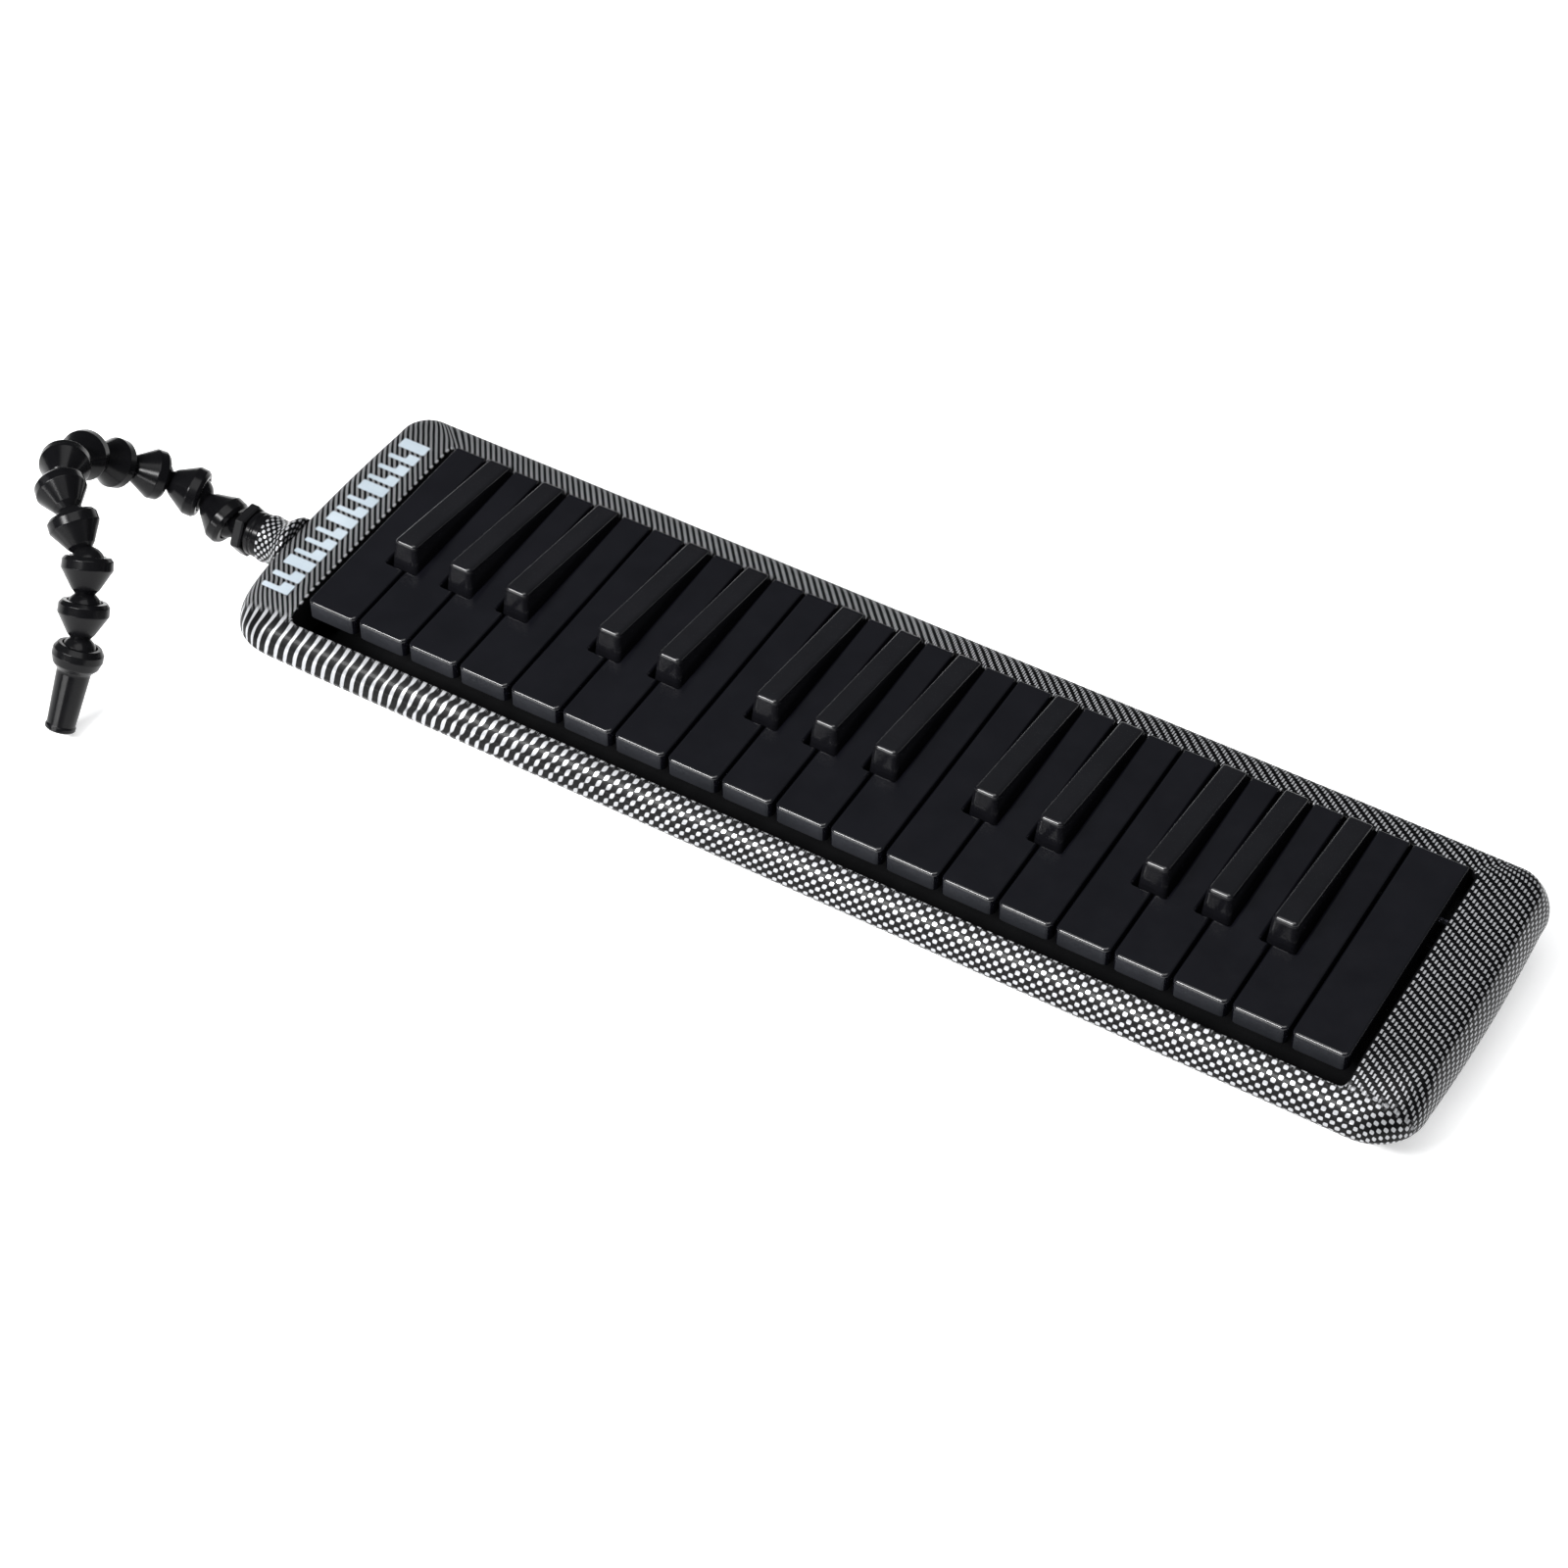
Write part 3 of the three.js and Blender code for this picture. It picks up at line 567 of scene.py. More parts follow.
def unrolled(rings, film_start, normals):
    """Film coordinates: the plan where the case is flat, plus the length gained on its slopes.

    rings run from the bottom rim up to film_start, the ring at the keyboard opening."""
    rings = np.array(rings)
    uv = rings[:, :, :2].copy()
    extra = np.zeros(rings.shape[1])
    for index in range(film_start - 1, -1, -1):
        step = rings[index] - rings[index + 1]
        outward = (step[:, :2] * normals).sum(axis=1)
        extra = extra + np.linalg.norm(step, axis=1) - outward
        uv[index] = rings[index, :, :2] + normals * extra[:, None]
    uv[film_start + 1:] = uv[film_start]
    return uv


def upper_case():
    """One closed skin: up the outside, over the top, down the keyboard opening and back along the inside."""
    levels = smooth_levels(CASE_LEVELS, 6)
    split = np.argmin(np.abs(levels[:, 0] - CASE_SPLIT))
    widest = WIDEST_LEVEL * 6
    upper = levels[widest:]
    opening = rounded_ring(OPENING_HALF_LENGTH, OPENING_FRONT, OPENING_BACK, 2.2, 2.2, bowed=False)
    wall_at_widest = level_ring(levels[widest])
    away = wall_at_widest - opening
    distance = np.linalg.norm(away, axis=1)[:, None]
    away /= distance

    rings = [flat_ring(level_ring(levels[split], 0.4), CASE_SPLIT)]
    for level in levels[split:widest + 1]:
        rings.append(flat_ring(level_ring(level), level[0] + (0.35 if level is levels[split] else 0)))
    rim = 0.6
    shares = np.linspace(0, 1, 26)[1:] ** 2
    for share in shares:
        plan = wall_at_widest + (opening + away * rim - wall_at_widest) * share
        rings.append(np.column_stack([plan, top_surface(plan, upper)]))
    film_start = len(rings) - 1
    edge_height = rings[-1][:, 2]
    for angle in np.radians([30, 60, 90]):
        plan = opening + away * rim * (1 - math.sin(angle))
        rings.append(np.column_stack([plan, edge_height - rim * (1 - math.cos(angle))]))
    print_rows = len(rings)

    roof = edge_height - CASE_WALL
    beyond_skirt = np.clip((opening[:, 1] - SKIRT_END + SKIRT_RAMP) / SKIRT_RAMP, 0, 1)
    skirt = SKIRT_BOTTOM + (SKIRT_RAISED - SKIRT_BOTTOM) * beyond_skirt
    skirt = np.minimum(skirt, roof - 0.4)
    rings.append(np.column_stack([opening, skirt + 0.4]))
    rings.append(np.column_stack([opening + away * 0.4, skirt]))
    rings.append(np.column_stack([opening + away * 1.6, skirt]))
    rings.append(np.column_stack([opening + away * 2.0, roof]))
    inner_wall = wall_at_widest - away * CASE_WALL
    for share in np.linspace(0, 1, 10)[1:]:
        plan = opening + away * 2.0 + (inner_wall - opening - away * 2.0) * (1 - (1 - share) ** 2)
        height = top_surface(plan + away * CASE_WALL * share, upper) - CASE_WALL * (1 - share)
        rings.append(np.column_stack([plan, np.minimum(height, roof)]))
    for level in levels[split:widest][::-1]:
        rings.append(flat_ring(level_ring(level, CASE_WALL), max(level[0], CASE_SPLIT)))

    vertices, faces = skin(rings, loop=True)
    shell = add_object("case_upper_shell", vertices, faces, [PRINT, INSIDE_PAINTED_SHADE], "case", 50)
    count = len(rings[0])
    rows = np.arange(len(faces)) // count
    # The inner faces take the darker plastic, which is painted shade
    shell.data.polygons.foreach_set("material_index", (rows >= print_rows - 1).astype(np.int32))
    film = unrolled(rings, film_start, outline_normals(wall_at_widest)).reshape(-1, 2)
    nose = np.clip((OPENING_FRONT + 1.5 - film[:, 1]) / 3.0, 0, 1)
    lean = np.interp(film[:, 0], [-200, -110, 40, 200], [0.25, 0.5, 0.9, 1.0])
    lay_film(shell, film, nose, lean)
    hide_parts("upper_case")


def neck():
    """The printed hose socket that leaves the bass end, flared where it meets the case."""
    profile = fillet([
        (NECK_BORE, 0), (NECK_RADIUS + 0.25, 0), (NECK_RADIUS + 0.25, 1.6), (NECK_RADIUS - 0.05, 2.2),
        (NECK_RADIUS, 6.0), (NECK_RADIUS + 3.2, 10.2), (NECK_RADIUS + 3.2, 11.6), (NECK_BORE, 11.6),
    ], [0.4, 0.5, 0.5, 0.5, 4.0, 0.3, 0.3, 0.4], 5)
    rings = place(turned(profile[::-1], NECK_SIDES), (NECK_END, INLET_Y, INLET_Z), (1, 0, 0))
    vertices, faces = skin(rings, loop=True)
    obj = add_object("case_hose_neck", vertices, faces, [PRINT], "case", 45)
    turns = np.linspace(0, NECK_PRINT_REPEATS * NOSE_PITCH_X, NECK_SIDES + 1)[:-1]
    steps = np.linalg.norm(np.diff(profile, axis=0), axis=1)
    along = np.repeat(np.concatenate([[0], np.cumsum(steps)])[::-1], NECK_SIDES)
    film = np.column_stack([np.tile(turns, len(rings)), OPENING_FRONT - NECK_PRINT_STRETCH * along])
    lay_film(obj, film, 1.0, 1.0)


def cut_away(obj, cutter):
    """Cuts one closed mesh out of another for good."""
    modifier = obj.modifiers.new("cut", "BOOLEAN")
    modifier.operation, modifier.solver, modifier.object = "DIFFERENCE", "EXACT", cutter
    bpy.context.view_layer.update()
    cut_mesh = bpy.data.meshes.new_from_object(obj.evaluated_get(bpy.context.evaluated_depsgraph_get()))
    obj.modifiers.remove(modifier)
    obj.data = cut_mesh
    bpy.data.objects.remove(cutter)


FEET = {"bass_front": (-186, -35.4), "treble_front": (186, -35.4),
        "bass_back": (-170, 40), "treble_back": (170, 40)}
SCREWS = [(x, y) for x in (-150, -75, 0, 75, 150) for y in (-33.5, 46.5)] + [(-194, 8), (194, 8)]
SCREW_RECESS_RADIUS, SCREW_RECESS_DEPTH = 3.6, 1.4
DRAIN_HOLE_RADIUS, DRAIN_HOLE_DEPTH = 4.0, 4.0


def recess_tool(x, y, radius, depth, sides):
    """A cylinder that cuts a round recess up into the underside."""
    return skin(place(turned([(radius, -1), (radius, depth)], sides), (x, y, 0), (0, 0, 1)))


def lower_case():
    """The moulded tray with its foot, screw and drain recesses; returns the drain's x and y."""
    levels = smooth_levels(CASE_LEVELS, 6)
    levels = levels[levels[:, 0] < CASE_SPLIT - GAP]
    rim_height = CASE_SPLIT - GAP
    rim_level = levels[-1]
    rings = [flat_ring(level_ring(level, CASE_WALL), level[0]) for level in levels if level[0] > TRAY_FLOOR]
    rings.insert(0, flat_ring(level_ring(levels[0], CASE_WALL), TRAY_FLOOR))
    inner_rows = len(rings)
    rings.append(flat_ring(level_ring(rim_level, CASE_WALL), rim_height))
    rings.append(flat_ring(level_ring(rim_level, 0.3), rim_height))
    rings += [flat_ring(level_ring(level), max(level[0], UNDERSIDE_ROUND)) for level in levels[::-1]]
    rings.append(flat_ring(level_ring(levels[0], 3 * UNDERSIDE_ROUND), 0.0))
    vertices, faces = skin(rings)
    tray = add_object("case_lower_tray", vertices, faces, [TRAY, INSIDE_PAINTED_SHADE], "case", 35)
    # The tray's inner walls and floor take the darker plastic: painted shade inside the tray
    in_painted_shade = np.arange(len(faces)) < inner_rows * len(rings[0])
    in_painted_shade[-2] = True
    tray.data.polygons.foreach_set("material_index", in_painted_shade.astype(np.int32))
    tools = [recess_tool(x, y, SCREW_RECESS_RADIUS, SCREW_RECESS_DEPTH, 32) for x, y in SCREWS]
    tools += [recess_tool(x, y, FOOT_RADIUS + GAP, FOOT_RECESS, 40) for x, y in FEET.values()]
    drain_low, drain_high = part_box("drain_button")
    drain_x, drain_y = [(a + b) / 2 / MM for a, b in zip(drain_low[:2], drain_high[:2])]
    tools.append(recess_tool(drain_x, drain_y, DRAIN_HOLE_RADIUS, DRAIN_HOLE_DEPTH, 40))
    vertices, faces = joined(*tools)
    cutter = add_object("cutter", vertices, faces, [TRAY], "case")
    cut_away(tray, cutter)
    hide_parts("lower_case")
    return drain_x, drain_y


def feet_and_screws():
    """The rubber feet in their recesses, and the case screws with a cross socket."""
    foot = fillet([(0.01, 0), (FOOT_RADIUS - 0.4, 0), (FOOT_RADIUS, FOOT_HEIGHT + FOOT_RECESS - GAP),
                   (0.01, FOOT_HEIGHT + FOOT_RECESS - GAP)], [0, 0.8, 0.2, 0], 4, closed=False)
    for name, (x, y) in FEET.items():
        vertices, faces = skin(place(turned(foot, 48), (x, y, -FOOT_HEIGHT), (0, 0, 1)))
        obj = add_object(f"rubber_foot_{name}", vertices, faces, [RUBBER], "case")
        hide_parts(f"foot_{name}")
    angles = np.radians(np.arange(0, 360, 7.5))
    for index, (x, y) in enumerate(SCREWS):
        socket_reach = 1.05 + 0.45 * np.cos(4 * angles)
        cross = np.column_stack([socket_reach * np.cos(angles), socket_reach * np.sin(angles)])
        circle = np.column_stack([np.cos(angles), np.sin(angles)])
        base = SCREW_RECESS_DEPTH
        rings = [flat_ring(cross * 0.6, 0.9), flat_ring(cross, 0.25), flat_ring(circle * 1.9, 0.25),
                 flat_ring(circle * 2.6, 0.5), flat_ring(circle * 2.9, 0.85),
                 flat_ring(circle * 2.9, base - 0.05)]
        rings = [ring + np.array([x, y, 0.05]) for ring in rings]
        vertices, faces = skin(rings)
        add_object(f"case_screw_{index + 1}", vertices, faces, [STEEL], "case", 30)


def drain(x, y):
    """The drain button's flat cap on its stem."""
    profile = fillet(
        [(0.01, -1.0), (1.6, -1.2), (3.6, -1.2), (3.6, 1.1), (1.4, 1.1), (1.4, 5.4), (0.01, 5.4)],
        [0, 0.5, 0.5, 0.3, 0.2, 0.3, 0], 3, closed=False)
    vertices, faces = skin(place(turned(profile, 48), (x, y, 0), (0, 0, 1)))
    obj = add_object("drain_button_cap", vertices, faces, [TRAY], "drain_button")
    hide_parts("drain_button")


def drain_spring():
    """The coil above the drain's seal."""
    low, high = (Vector(corner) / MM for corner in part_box("drain_spring"))
    middle = (low + high) / 2
    coil_radius = (high.x - low.x) / 2 - DRAIN_WIRE_RADIUS
    start, rise = low.z + DRAIN_WIRE_RADIUS, high.z - low.z - 2 * DRAIN_WIRE_RADIUS
    around = np.linspace(0, 2 * math.pi, 12, endpoint=False)
    upward = np.array([0.0, 0.0, 1.0])
    rings = []
    for share in np.linspace(0, 1, 24 * DRAIN_SPRING_TURNS + 1):
        angle = 2 * math.pi * DRAIN_SPRING_TURNS * share
        outward = np.array([math.cos(angle), math.sin(angle), 0.0])
        centre = np.array([middle.x, middle.y, start + rise * share]) + coil_radius * outward
        offsets = np.outer(np.cos(around), outward) + np.outer(np.sin(around), upward)
        rings.append(centre + DRAIN_WIRE_RADIUS * offsets)
    vertices, faces = skin(rings)
    obj = add_object("drain_coil_spring", vertices, faces, [STEEL], "case")
    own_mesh(obj)
    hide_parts("drain_spring")


def strip_motif():
    """A pale keyboard pictogram on the bass end strip."""
    left, right, notch_edge = -204.4, -194.0, -198.4
    start, pitch, gap, count = -41.5, 6.0, 1.5, 14
    lift = CASE_TOP + 0.03
    for index in range(count):
        low, high = start + index * pitch, start + (index + 1) * pitch - gap
        corners = [(left, low), (right, low), (right, high), (left, high)]
        if index % 7 not in (2, 6) and index < count - 1:
            notch = low + (high - low) * 0.42
            corners = [(left, low), (right, low), (right, high), (notch_edge, high), (notch_edge, notch),
                       (left, notch)]
        outline = fillet(corners, 0.35, 3)
        vertices, faces = skin([flat_ring(outline, lift - 0.4), flat_ring(outline, lift),
                                flat_ring(inset(outline, 0.03), lift + 0.02)])
        add_object(f"strip_motif_{index + 1}", vertices, faces, [INK], "case")


# Keys

def note_names():
    """The (letter, octave) of every natural, from the bass end."""
    notes = []
    for index in range(NATURAL_COUNT):
        letter = NATURAL_LETTERS[(FIRST_LETTER + index) % 7]
        notes.append((letter, FIRST_OCTAVE + (FIRST_LETTER + index) // 7))
    return notes


NOTES = note_names()


def natural_left(index):
    """The x of the line between a natural and the one before it."""
    return -NATURAL_COUNT * KEY_PITCH / 2 + index * KEY_PITCH


def has_sharp(index):
    """Whether a sharp stands between this natural and the next."""
    return 0 <= index < NATURAL_COUNT - 1 and NOTES[index][0] in SHARP_OFFSETS


def sharp_centre(index):
    """The x of the sharp after this natural."""
    return natural_left(index + 1) + SHARP_OFFSETS[NOTES[index][0]]


def natural_waist(index):
    """The left and right x of a natural between its sharps."""
    reach = SHARP_WIDTH / 2 + 0.6
    left = sharp_centre(index - 1) + reach if has_sharp(index - 1) else natural_left(index) + KEY_GAP / 2
    right = sharp_centre(index) - reach if has_sharp(index) else natural_left(index + 1) - KEY_GAP / 2
    return left, right


def natural_plan(index):
    """Corners of a natural's plan, anticlockwise from the front left."""
    left, right = natural_left(index) + KEY_GAP / 2, natural_left(index + 1) - KEY_GAP / 2
    waist_left, waist_right = natural_waist(index)
    shoulder = SHARP_FRONT - 0.9
    points = [(left, KEY_FRONT), (right, KEY_FRONT)]
    if has_sharp(index):
        points += [(right, shoulder), (waist_right, shoulder)]
    points += [(waist_right, KEY_BACK), (waist_left, KEY_BACK)]
    if has_sharp(index - 1):
        points += [(waist_left, shoulder), (left, shoulder)]
    return points


# The lever sits over the pivot rod in a round-topped slot and carries the valve pad on its tail
SLOT_HALF = PIVOT_RADIUS + GAP
SLOT_FRONT, SLOT_BACK, SLOT_TOP = PIVOT_Y - SLOT_HALF, PIVOT_Y + SLOT_HALF, PIVOT_Z + SLOT_HALF
LEVER_PROFILE = fillet(
    [(24, 18.5), (SLOT_FRONT, 18.5), (SLOT_FRONT, SLOT_TOP), (SLOT_BACK, SLOT_TOP), (SLOT_BACK, 18.5),
     (36, 18.5), (42, 19.8), (51.5, 19.8), (51.5, 25.3), (46, 26), (44, 29), (44, 32), (10, 32),
     (10, 28.8), (17, 28.8)],
    [0.8, 0.6, 1.75, 1.75, 0.6, 0.8, 1.5, 0.8, 0.8, 1.5, 1.5, 0.6, 0.6, 0.8, 2.0], 6)


def lever(centre):
    """The arm under a key, from its spring to its valve pad."""
    return side_extrusion(LEVER_PROFILE, centre - LEVER_WIDTH / 2, centre + LEVER_WIDTH / 2)


def natural_ring(plan, amount, height, front_radius=2.3, other_radius=0.7):
    """A natural's outline at one height, moved inward by an amount."""
    outward = is_convex(plan)
    radii = np.where(outward, other_radius - amount, other_radius + amount)
    radii[:2] = front_radius - amount
    return flat_ring(fillet(inset(plan, amount), np.maximum(radii, 0.15), 6), height)


def natural_key(index):
    """A hollow natural with rounded edges, on its lever."""
    plan = natural_plan(index)
    bottom = KEY_TOP - KEY_DEPTH
    rings = [natural_ring(plan, KEY_WALL, KEY_TOP - KEY_WALL), natural_ring(plan, KEY_WALL, bottom)]
    rings += [natural_ring(plan, amount, bottom + drop) for amount, drop in edge_rows(0.3, 2)[::-1]]
    rings += [natural_ring(plan, amount, KEY_TOP - drop) for amount, drop in edge_rows(1.1, 5)]
    left, right = natural_waist(index)
    return joined(skin(rings), lever((left + right) / 2))


def sharp_ring(centre, share, amount, drop):
    """A ring at a share of the way up a sharp; its top slopes down towards the back."""
    half = (SHARP_WIDTH + (SHARP_TOP_WIDTH - SHARP_WIDTH) * share) / 2
    front = SHARP_FRONT + SHARP_LEAN * share
    left, right = centre - half, centre + half
    corners = [(left, front), (right, front), (right, KEY_BACK), (left, KEY_BACK)]
    outline = fillet(inset(corners, amount), [max(1.9 - amount, 0.4)] * 2 + [0.7] * 2, 6)
    back_share = (outline[:, 1] - SHARP_FRONT - SHARP_LEAN) / (KEY_BACK - SHARP_FRONT - SHARP_LEAN)
    top = KEY_TOP + SHARP_RISE_FRONT + (SHARP_RISE_BACK - SHARP_RISE_FRONT) * np.clip(back_share, 0, 1)
    bottom = KEY_TOP - KEY_DEPTH
    return np.column_stack([outline, bottom + (top - bottom) * share - drop])


def sharp_key(index):
    """A hollow sharp that narrows upward, on its lever."""
    centre = sharp_centre(index)
    bottom = KEY_TOP - KEY_DEPTH
    rings = [sharp_ring(centre, 0, KEY_WALL, 0) + np.array([0, 0, 4.5]), sharp_ring(centre, 0, KEY_WALL, 0)]
    rings += [sharp_ring(centre, 0, 0.3, 0), sharp_ring(centre, 0, 0, -0.3)]
    rings += [sharp_ring(centre, share, 0, 0) for share in (0.25, 0.5, 0.75, 0.9)]
    rings += [sharp_ring(centre, 1, amount, drop) for amount, drop in edge_rows(1.5, 6)]
    return joined(skin(rings), lever(centre))


def matt_front_painted_light(obj):
    """The front wall of a natural gets a matt plastic, paler than the top: painted light on the front face.
    """
    for face in obj.data.polygons:
        if face.normal.y < -0.9 and face.center.y < (KEY_FRONT + 1) * MM:
            face.material_index = 1


def valve_pad(name, centre):
    """The soft pad under a lever's tail that closes the key's port."""
    vertices, faces = rounded_block(
        (centre - 2.9, 43.2, CHAMBER_TOP + 0.15), (centre + 2.9, 49.8, 19.75), 0.5)
    obj = add_object(f"valve_pad_{name}", vertices, faces, [PAD], f"key_{name}")


def spring_leaf(name, centre):
    """A key's leaf spring, bending between its clamp and the lever that it pushes up."""
    path = [(33.4, SPRING_STRIP_TOP), (25.8, SPRING_STRIP_TOP), (14.2, 27.4), (12.6, 28.1), (11.4, 27.5)]
    upper = fillet(path, [0, 2.0, 1.5, 0.8, 0], 5, closed=False) + np.array([0, 0.02])
    outline = np.vstack([upper[::-1], upper + np.array([0, SPRING_THICKNESS])])
    vertices, faces = side_extrusion(outline, centre - 1.5, centre + 1.5, 0.04)
    obj = add_object(f"spring_leaf_{name}", vertices, faces, [SPRING], None, 30)
    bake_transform(obj)


def spring_clamp():
    """The strip under all the springs and the bar that holds them down on it."""
    low, high = (Vector(corner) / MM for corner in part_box("key_spring_comb"))
    strip = fillet([(26, low.z), (35, low.z), (35, SPRING_STRIP_TOP), (26, SPRING_STRIP_TOP)], 0.2, 3)
    bar_bottom = SPRING_STRIP_TOP + SPRING_THICKNESS + 0.06
    bar = fillet([(27.5, bar_bottom), (33, bar_bottom), (33, 14.6), (27.5, 14.6)], 0.35, 3)
    vertices, faces = joined(*[side_extrusion(outline, low.x, high.x, 0.15) for outline in (strip, bar)])
    obj = add_object("key_spring_clamp", vertices, faces, [SPRING], "case", 30)
    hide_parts("key_spring_comb")


def reed(name, centre):
    """A brass tongue, riveted at its front end over a slot in the reed plate."""
    tongue = [(centre - 1.05, 39.2), (centre + 1.05, 39.2), (centre + 0.8, 47.4), (centre - 0.8, 47.4)]
    outline = fillet(tongue, 0.25, 2)
    base = REED_PLATE_TOP + 0.04
    parts = [skin([flat_ring(outline, base), flat_ring(outline, base + 0.22)])]
    rivet = turned([(0.55, 0), (0.5, 0.35), (0.2, 0.45)], 16)
    parts.append(skin(place(rivet, (centre, 40.1, base + 0.2), (0, 0, 1))))
    vertices, faces = joined(*parts)
    add_object(f"reed_{name}", vertices, faces, [BRASS], "case")


def keyboard():
    """Every key, each with its own pad, reed and spring."""
    for index, (letter, octave) in enumerate(NOTES):
        left, right = natural_waist(index)
        # The second finish, for the front walls, carries painted light
        finishes = [NATURAL, KEY_FRONT_PAINTED_LIGHT]
        made = [(f"{letter}{octave}", natural_key(index), finishes, "natural_key", (left + right) / 2)]
        if has_sharp(index):
            sharp_name = f"{letter}_sharp{octave}"
            made.append((sharp_name, sharp_key(index), [SHARP], "sharp_key", sharp_centre(index)))
        for name, (vertices, faces), finishes, slot, centre in made:
            obj = add_object(f"moulded_key_{name}", vertices, faces, finishes, f"key_{name}", 35)
            if slot == "natural_key":
                matt_front_painted_light(obj)
            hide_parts(f"key_{name}")
            valve_pad(name, centre)
            reed(name, centre)
            spring_leaf(name, centre)


# Hose

def arc_points(radius, centre, start, end, steps):
    """Points of an arc in the [radius, along] plane, round a centre on the axis."""
    angles = np.radians(np.linspace(start, end, steps + 1))
    return [(radius * math.cos(a), centre + radius * math.sin(a)) for a in angles]


def hose_profile(outside, radii, ball_centre=None, far_end=None):
    """Closed [radius, along] loop: the outside, then the ball or plain end, the bore and the socket."""
    loop = list(fillet(outside, radii, 4, closed=False))
    if ball_centre is not None:
        loop += arc_points(BALL_RADIUS, ball_centre, -56, 45, 16)
        far_end = ball_centre + BALL_RADIUS * math.sin(math.pi / 4)
    loop += [(HOSE_BORE + 0.4, far_end + 0.05), (HOSE_BORE, far_end - 0.4), (HOSE_BORE, 6.8)]
    return loop + arc_points(SOCKET_RADIUS, 0, 60, -23.8, 12)


def lathe_piece(node, profile, point, direction):
    """One turned piece of the hose, standing for the CAD node of the same name as its body."""
    rings = place(turned(profile, 72), point, direction)
    vertices, faces = skin(rings, loop=True)
    obj = add_object(f"{node}_shell", vertices, faces, [HOSE], node, 32)
    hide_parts(node)


def joint_places():
    """Where each hose piece's own joint is, in millimetres, in order from the connector."""
    places = {j["child"]: Vector(j["pos_m"]) / MM for j in frame["joints"]}
    names = [f"hose_segment_{n}" for n in range(1, 11)] + ["mouthpiece"]
    return names, [places[name] for name in names]


def hose():
    """The ball-and-socket segments and the mouthpiece, each from its own joint to the next."""
    names, points = joint_places()
    segment = hose_profile(
        [(6.3, -2.62), (7.4, -2.6), (8.4, -1.4), (8.5, 1.6), (4.6, 8.2), (3.3, 9.6)],
        [0, 0.5, 0.6, 0.9, 1.6, 0], HOSE_PITCH)
    for name, point, after in zip(names[:-1], points, points[1:]):
        lathe_piece(name, segment, point, (after - point).normalized())

    tip = points[-1]
    node = frame["nodes"]["mouthpiece"]
    middle = sum((v.co for v in node.data.vertices), Vector()) / len(node.data.vertices) / MM
    profile = list(fillet(
        [(6.3, -2.62), (7.2, -2.6), (8.4, -0.8), (8.5, 1.5), (7.6, 4.2), (5.7, 6.2), (4.8, 24.8), (5.1, 25.4),
         (5.1, MOUTHPIECE_LENGTH - 0.6), (4.6, MOUTHPIECE_LENGTH), (2.8, MOUTHPIECE_LENGTH), (HOSE_BORE, 20),
         (HOSE_BORE, 6.8)],
        [0, 0.5, 0.8, 1.0, 1.5, 2.0, 0.6, 0.3, 0.4, 0.4, 0.3, 1.0, 0], 4, closed=False))
    profile += arc_points(SOCKET_RADIUS, 0, 60, -23.8, 12)
    lathe_piece("mouthpiece", profile, tip, (middle - tip).normalized())


def hose_connector():
    """A barrel that turns in the neck, with a hexagonal collar and the hose's first ball."""
    outside = list(fillet(
        [(HOSE_BORE + 0.6, -BARREL_REACH), (6.1, -BARREL_REACH), (6.1, GAP), (7.5, GAP), (7.7, 2.2),
         (7.3, 2.6), (7.3, 3.2), (7.6, 3.6),
         (7.6, 5), (6.6, 5.6), (6.6, 9.6), (5.4, 10.4), (3.3, 12)],
        [0, 0.4, 0, 0.3, 0.2, 0.2, 0.2, 0.2, 0.3, 0.2, 0.4, 0.6, 0], 3, closed=False))
    outside += arc_points(BALL_RADIUS, CONNECTOR_REACH, -56, 45, 16)
    end = CONNECTOR_REACH + BALL_RADIUS * math.sin(math.pi / 4)
    profile = outside + [(HOSE_BORE + 0.4, end + 0.05), (HOSE_BORE, end - 0.4),
                         (HOSE_BORE, 0.4 - BARREL_REACH)]
    place_at = ((NECK_END, INLET_Y, INLET_Z), (-1, 0, 0))
    rings = place(turned(profile, 72), *place_at)
    barrel = skin(rings, loop=True)

    hexagon = [(9.2 * math.cos(a), 9.2 * math.sin(a)) for a in np.radians(np.arange(30, 390, 60))]
    outline = fillet(hexagon, 1.0, 4)
    rings = []
    for along, amount in [(5.8, 4.2), (5.8, 0.5), (6.3, 0.0), (8.9, 0.0), (9.4, 0.5), (9.4, 4.2)]:
        rings.append(flat_ring(inset(outline, amount), along))
    collar = skin(place(rings, *place_at), loop=True)
    vertices, faces = joined(barrel, collar)
    obj = add_object("hose_connector_shell", vertices, faces, [HOSE], "hose_connector", 32)
    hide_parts("hose_connector")


# Carried-over CAD pieces get their finishes, and the chamber pieces a small edge rounding

def dress_frame():
    """Finishes for the CAD nodes that are shown as they are."""
    finishes = {
        "pivot_rod": SPRING, "drain_seal": RUBBER,
        "wind_chamber": CHAMBER, "chamber_cover": CHAMBER, "inlet_duct": CHAMBER,
        "reed_plate_bass": BRASS, "reed_plate_treble": BRASS,
    }
    for name, material in finishes.items():
        node = frame["nodes"][name]
        node.data.materials.clear()
        node.data.materials.append(material)
        if material is CHAMBER:
            weld = node.modifiers.new("weld", "WELD")
            weld.merge_threshold = 0.00001
            flatten = node.modifiers.new("flatten", "DECIMATE")
            flatten.decimate_type = "DISSOLVE"
            flatten.angle_limit = math.radians(1)
            bevel = node.modifiers.new("bevel", "BEVEL")
            bevel.width, bevel.segments, bevel.limit_method = 0.0003, 2, "ANGLE"
            bevel.angle_limit = math.radians(50)


# Stage

CAMERA_PLACE = Vector((409.64, -738.05, 913.96)) * MM
CAMERA_TARGET = Vector((-11.04, -32.63, 33.5)) * MM


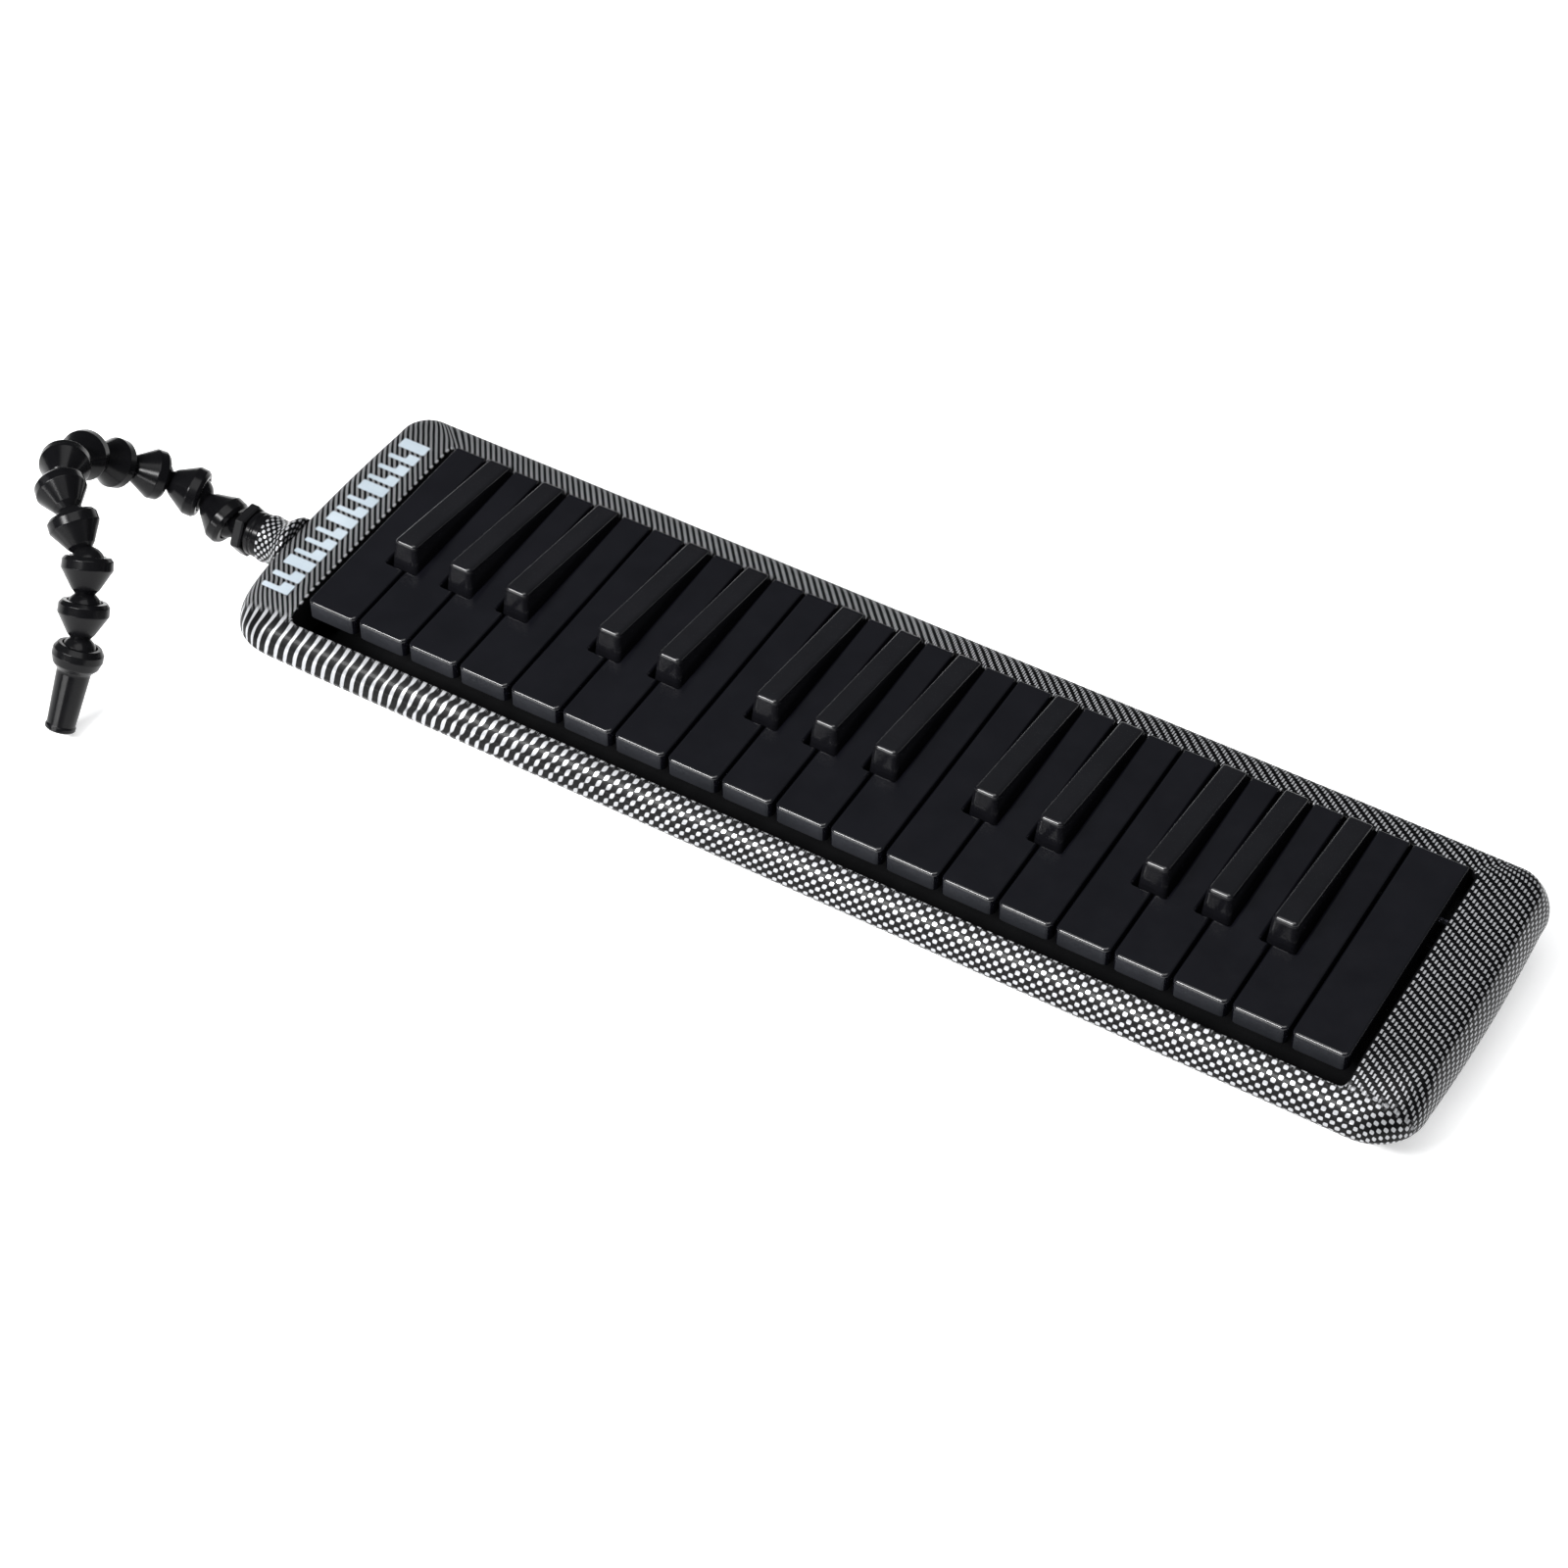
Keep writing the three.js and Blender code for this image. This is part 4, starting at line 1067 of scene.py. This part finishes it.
def camera():
    """The camera that matches the photograph."""
    data = bpy.data.cameras.new("camera")
    data.sensor_width, data.lens = 36.0, 89.17
    obj = bpy.data.objects.new("camera", data)
    scene.collection.objects.link(obj)
    obj.location = CAMERA_PLACE
    obj.rotation_mode = "QUATERNION"
    obj.rotation_quaternion = (CAMERA_TARGET - CAMERA_PLACE).to_track_quat("-Z", "Y")
    scene.camera = obj


def softbox(name, place_at, aim, size, power, shape_ratio=1.0):
    """One rectangular area light aimed at a point."""
    data = bpy.data.lights.new(name, "AREA")
    data.shape, data.size, data.size_y, data.energy = "RECTANGLE", size, size * shape_ratio, power
    obj = bpy.data.objects.new(name, data)
    scene.collection.objects.link(obj)
    obj.location = place_at
    obj.rotation_mode = "QUATERNION"
    obj.rotation_quaternion = (Vector(aim) - Vector(place_at)).to_track_quat("-Z", "Y")


def studio():
    """Three softboxes, a dim room and a pale backdrop."""
    softbox("overhead", (0.25, -0.2, 2.0), (0, 0, 0), 1.6, 26.0)
    softbox("front_high", (-0.68, -1.28, 1.49), (-0.68, 0, 0), 1.3, 72.0, 0.25)
    softbox("front_low", (-0.68, -2.1, 0.38), (-0.68, 0, 0), 1.3, 16.0, 0.2)
    world = bpy.data.worlds.new("studio")
    scene.world = world
    world.use_nodes = True
    tree = world.node_tree
    seen = tree.nodes.new("ShaderNodeLightPath").outputs["Is Camera Ray"]
    room = tree.nodes["Background"]
    room.inputs["Color"].default_value = (0.9, 0.95, 1.0, 1)
    room.inputs["Strength"].default_value = 0.14
    backdrop = tree.nodes.new("ShaderNodeBackground")
    backdrop.inputs["Color"].default_value = (0.95, 0.95, 0.95, 1)
    chosen = tree.nodes.new("ShaderNodeMixShader")
    tree.links.new(seen, chosen.inputs[0])
    tree.links.new(room.outputs[0], chosen.inputs[1])
    tree.links.new(backdrop.outputs[0], chosen.inputs[2])
    tree.links.new(chosen.outputs[0], tree.nodes["World Output"].inputs["Surface"])
    scene.view_settings.view_transform = "Standard"


def floor():
    """A wide pale disc level with the feet."""
    angles = np.linspace(0, 2 * math.pi, 96, endpoint=False)
    circle = np.column_stack([np.cos(angles), np.sin(angles)])
    radii = [12000.0, 3000.0, 1200.0, 400.0, 1.0]
    rings = [flat_ring(circle * radius, -FOOT_HEIGHT - FLOOR_GAP) for radius in radii]
    faces = ring_faces(len(circle), zip(range(len(rings) - 1), range(1, len(rings))))
    faces.append(tuple(range((len(rings) - 1) * len(circle), len(rings) * len(circle))))
    mesh = bpy.data.meshes.new("floor")
    mesh.from_pydata((np.concatenate(rings) * MM).tolist(), [], faces)
    mesh.materials.append(floor_paint())
    obj = bpy.data.objects.new("floor", mesh)
    scene.collection.objects.link(obj)


camera()
studio()
floor()
upper_case()
neck()
drain_place = lower_case()
feet_and_screws()
drain(*drain_place)
drain_spring()
strip_motif()
keyboard()
spring_clamp()
hose()
hose_connector()
dress_frame()
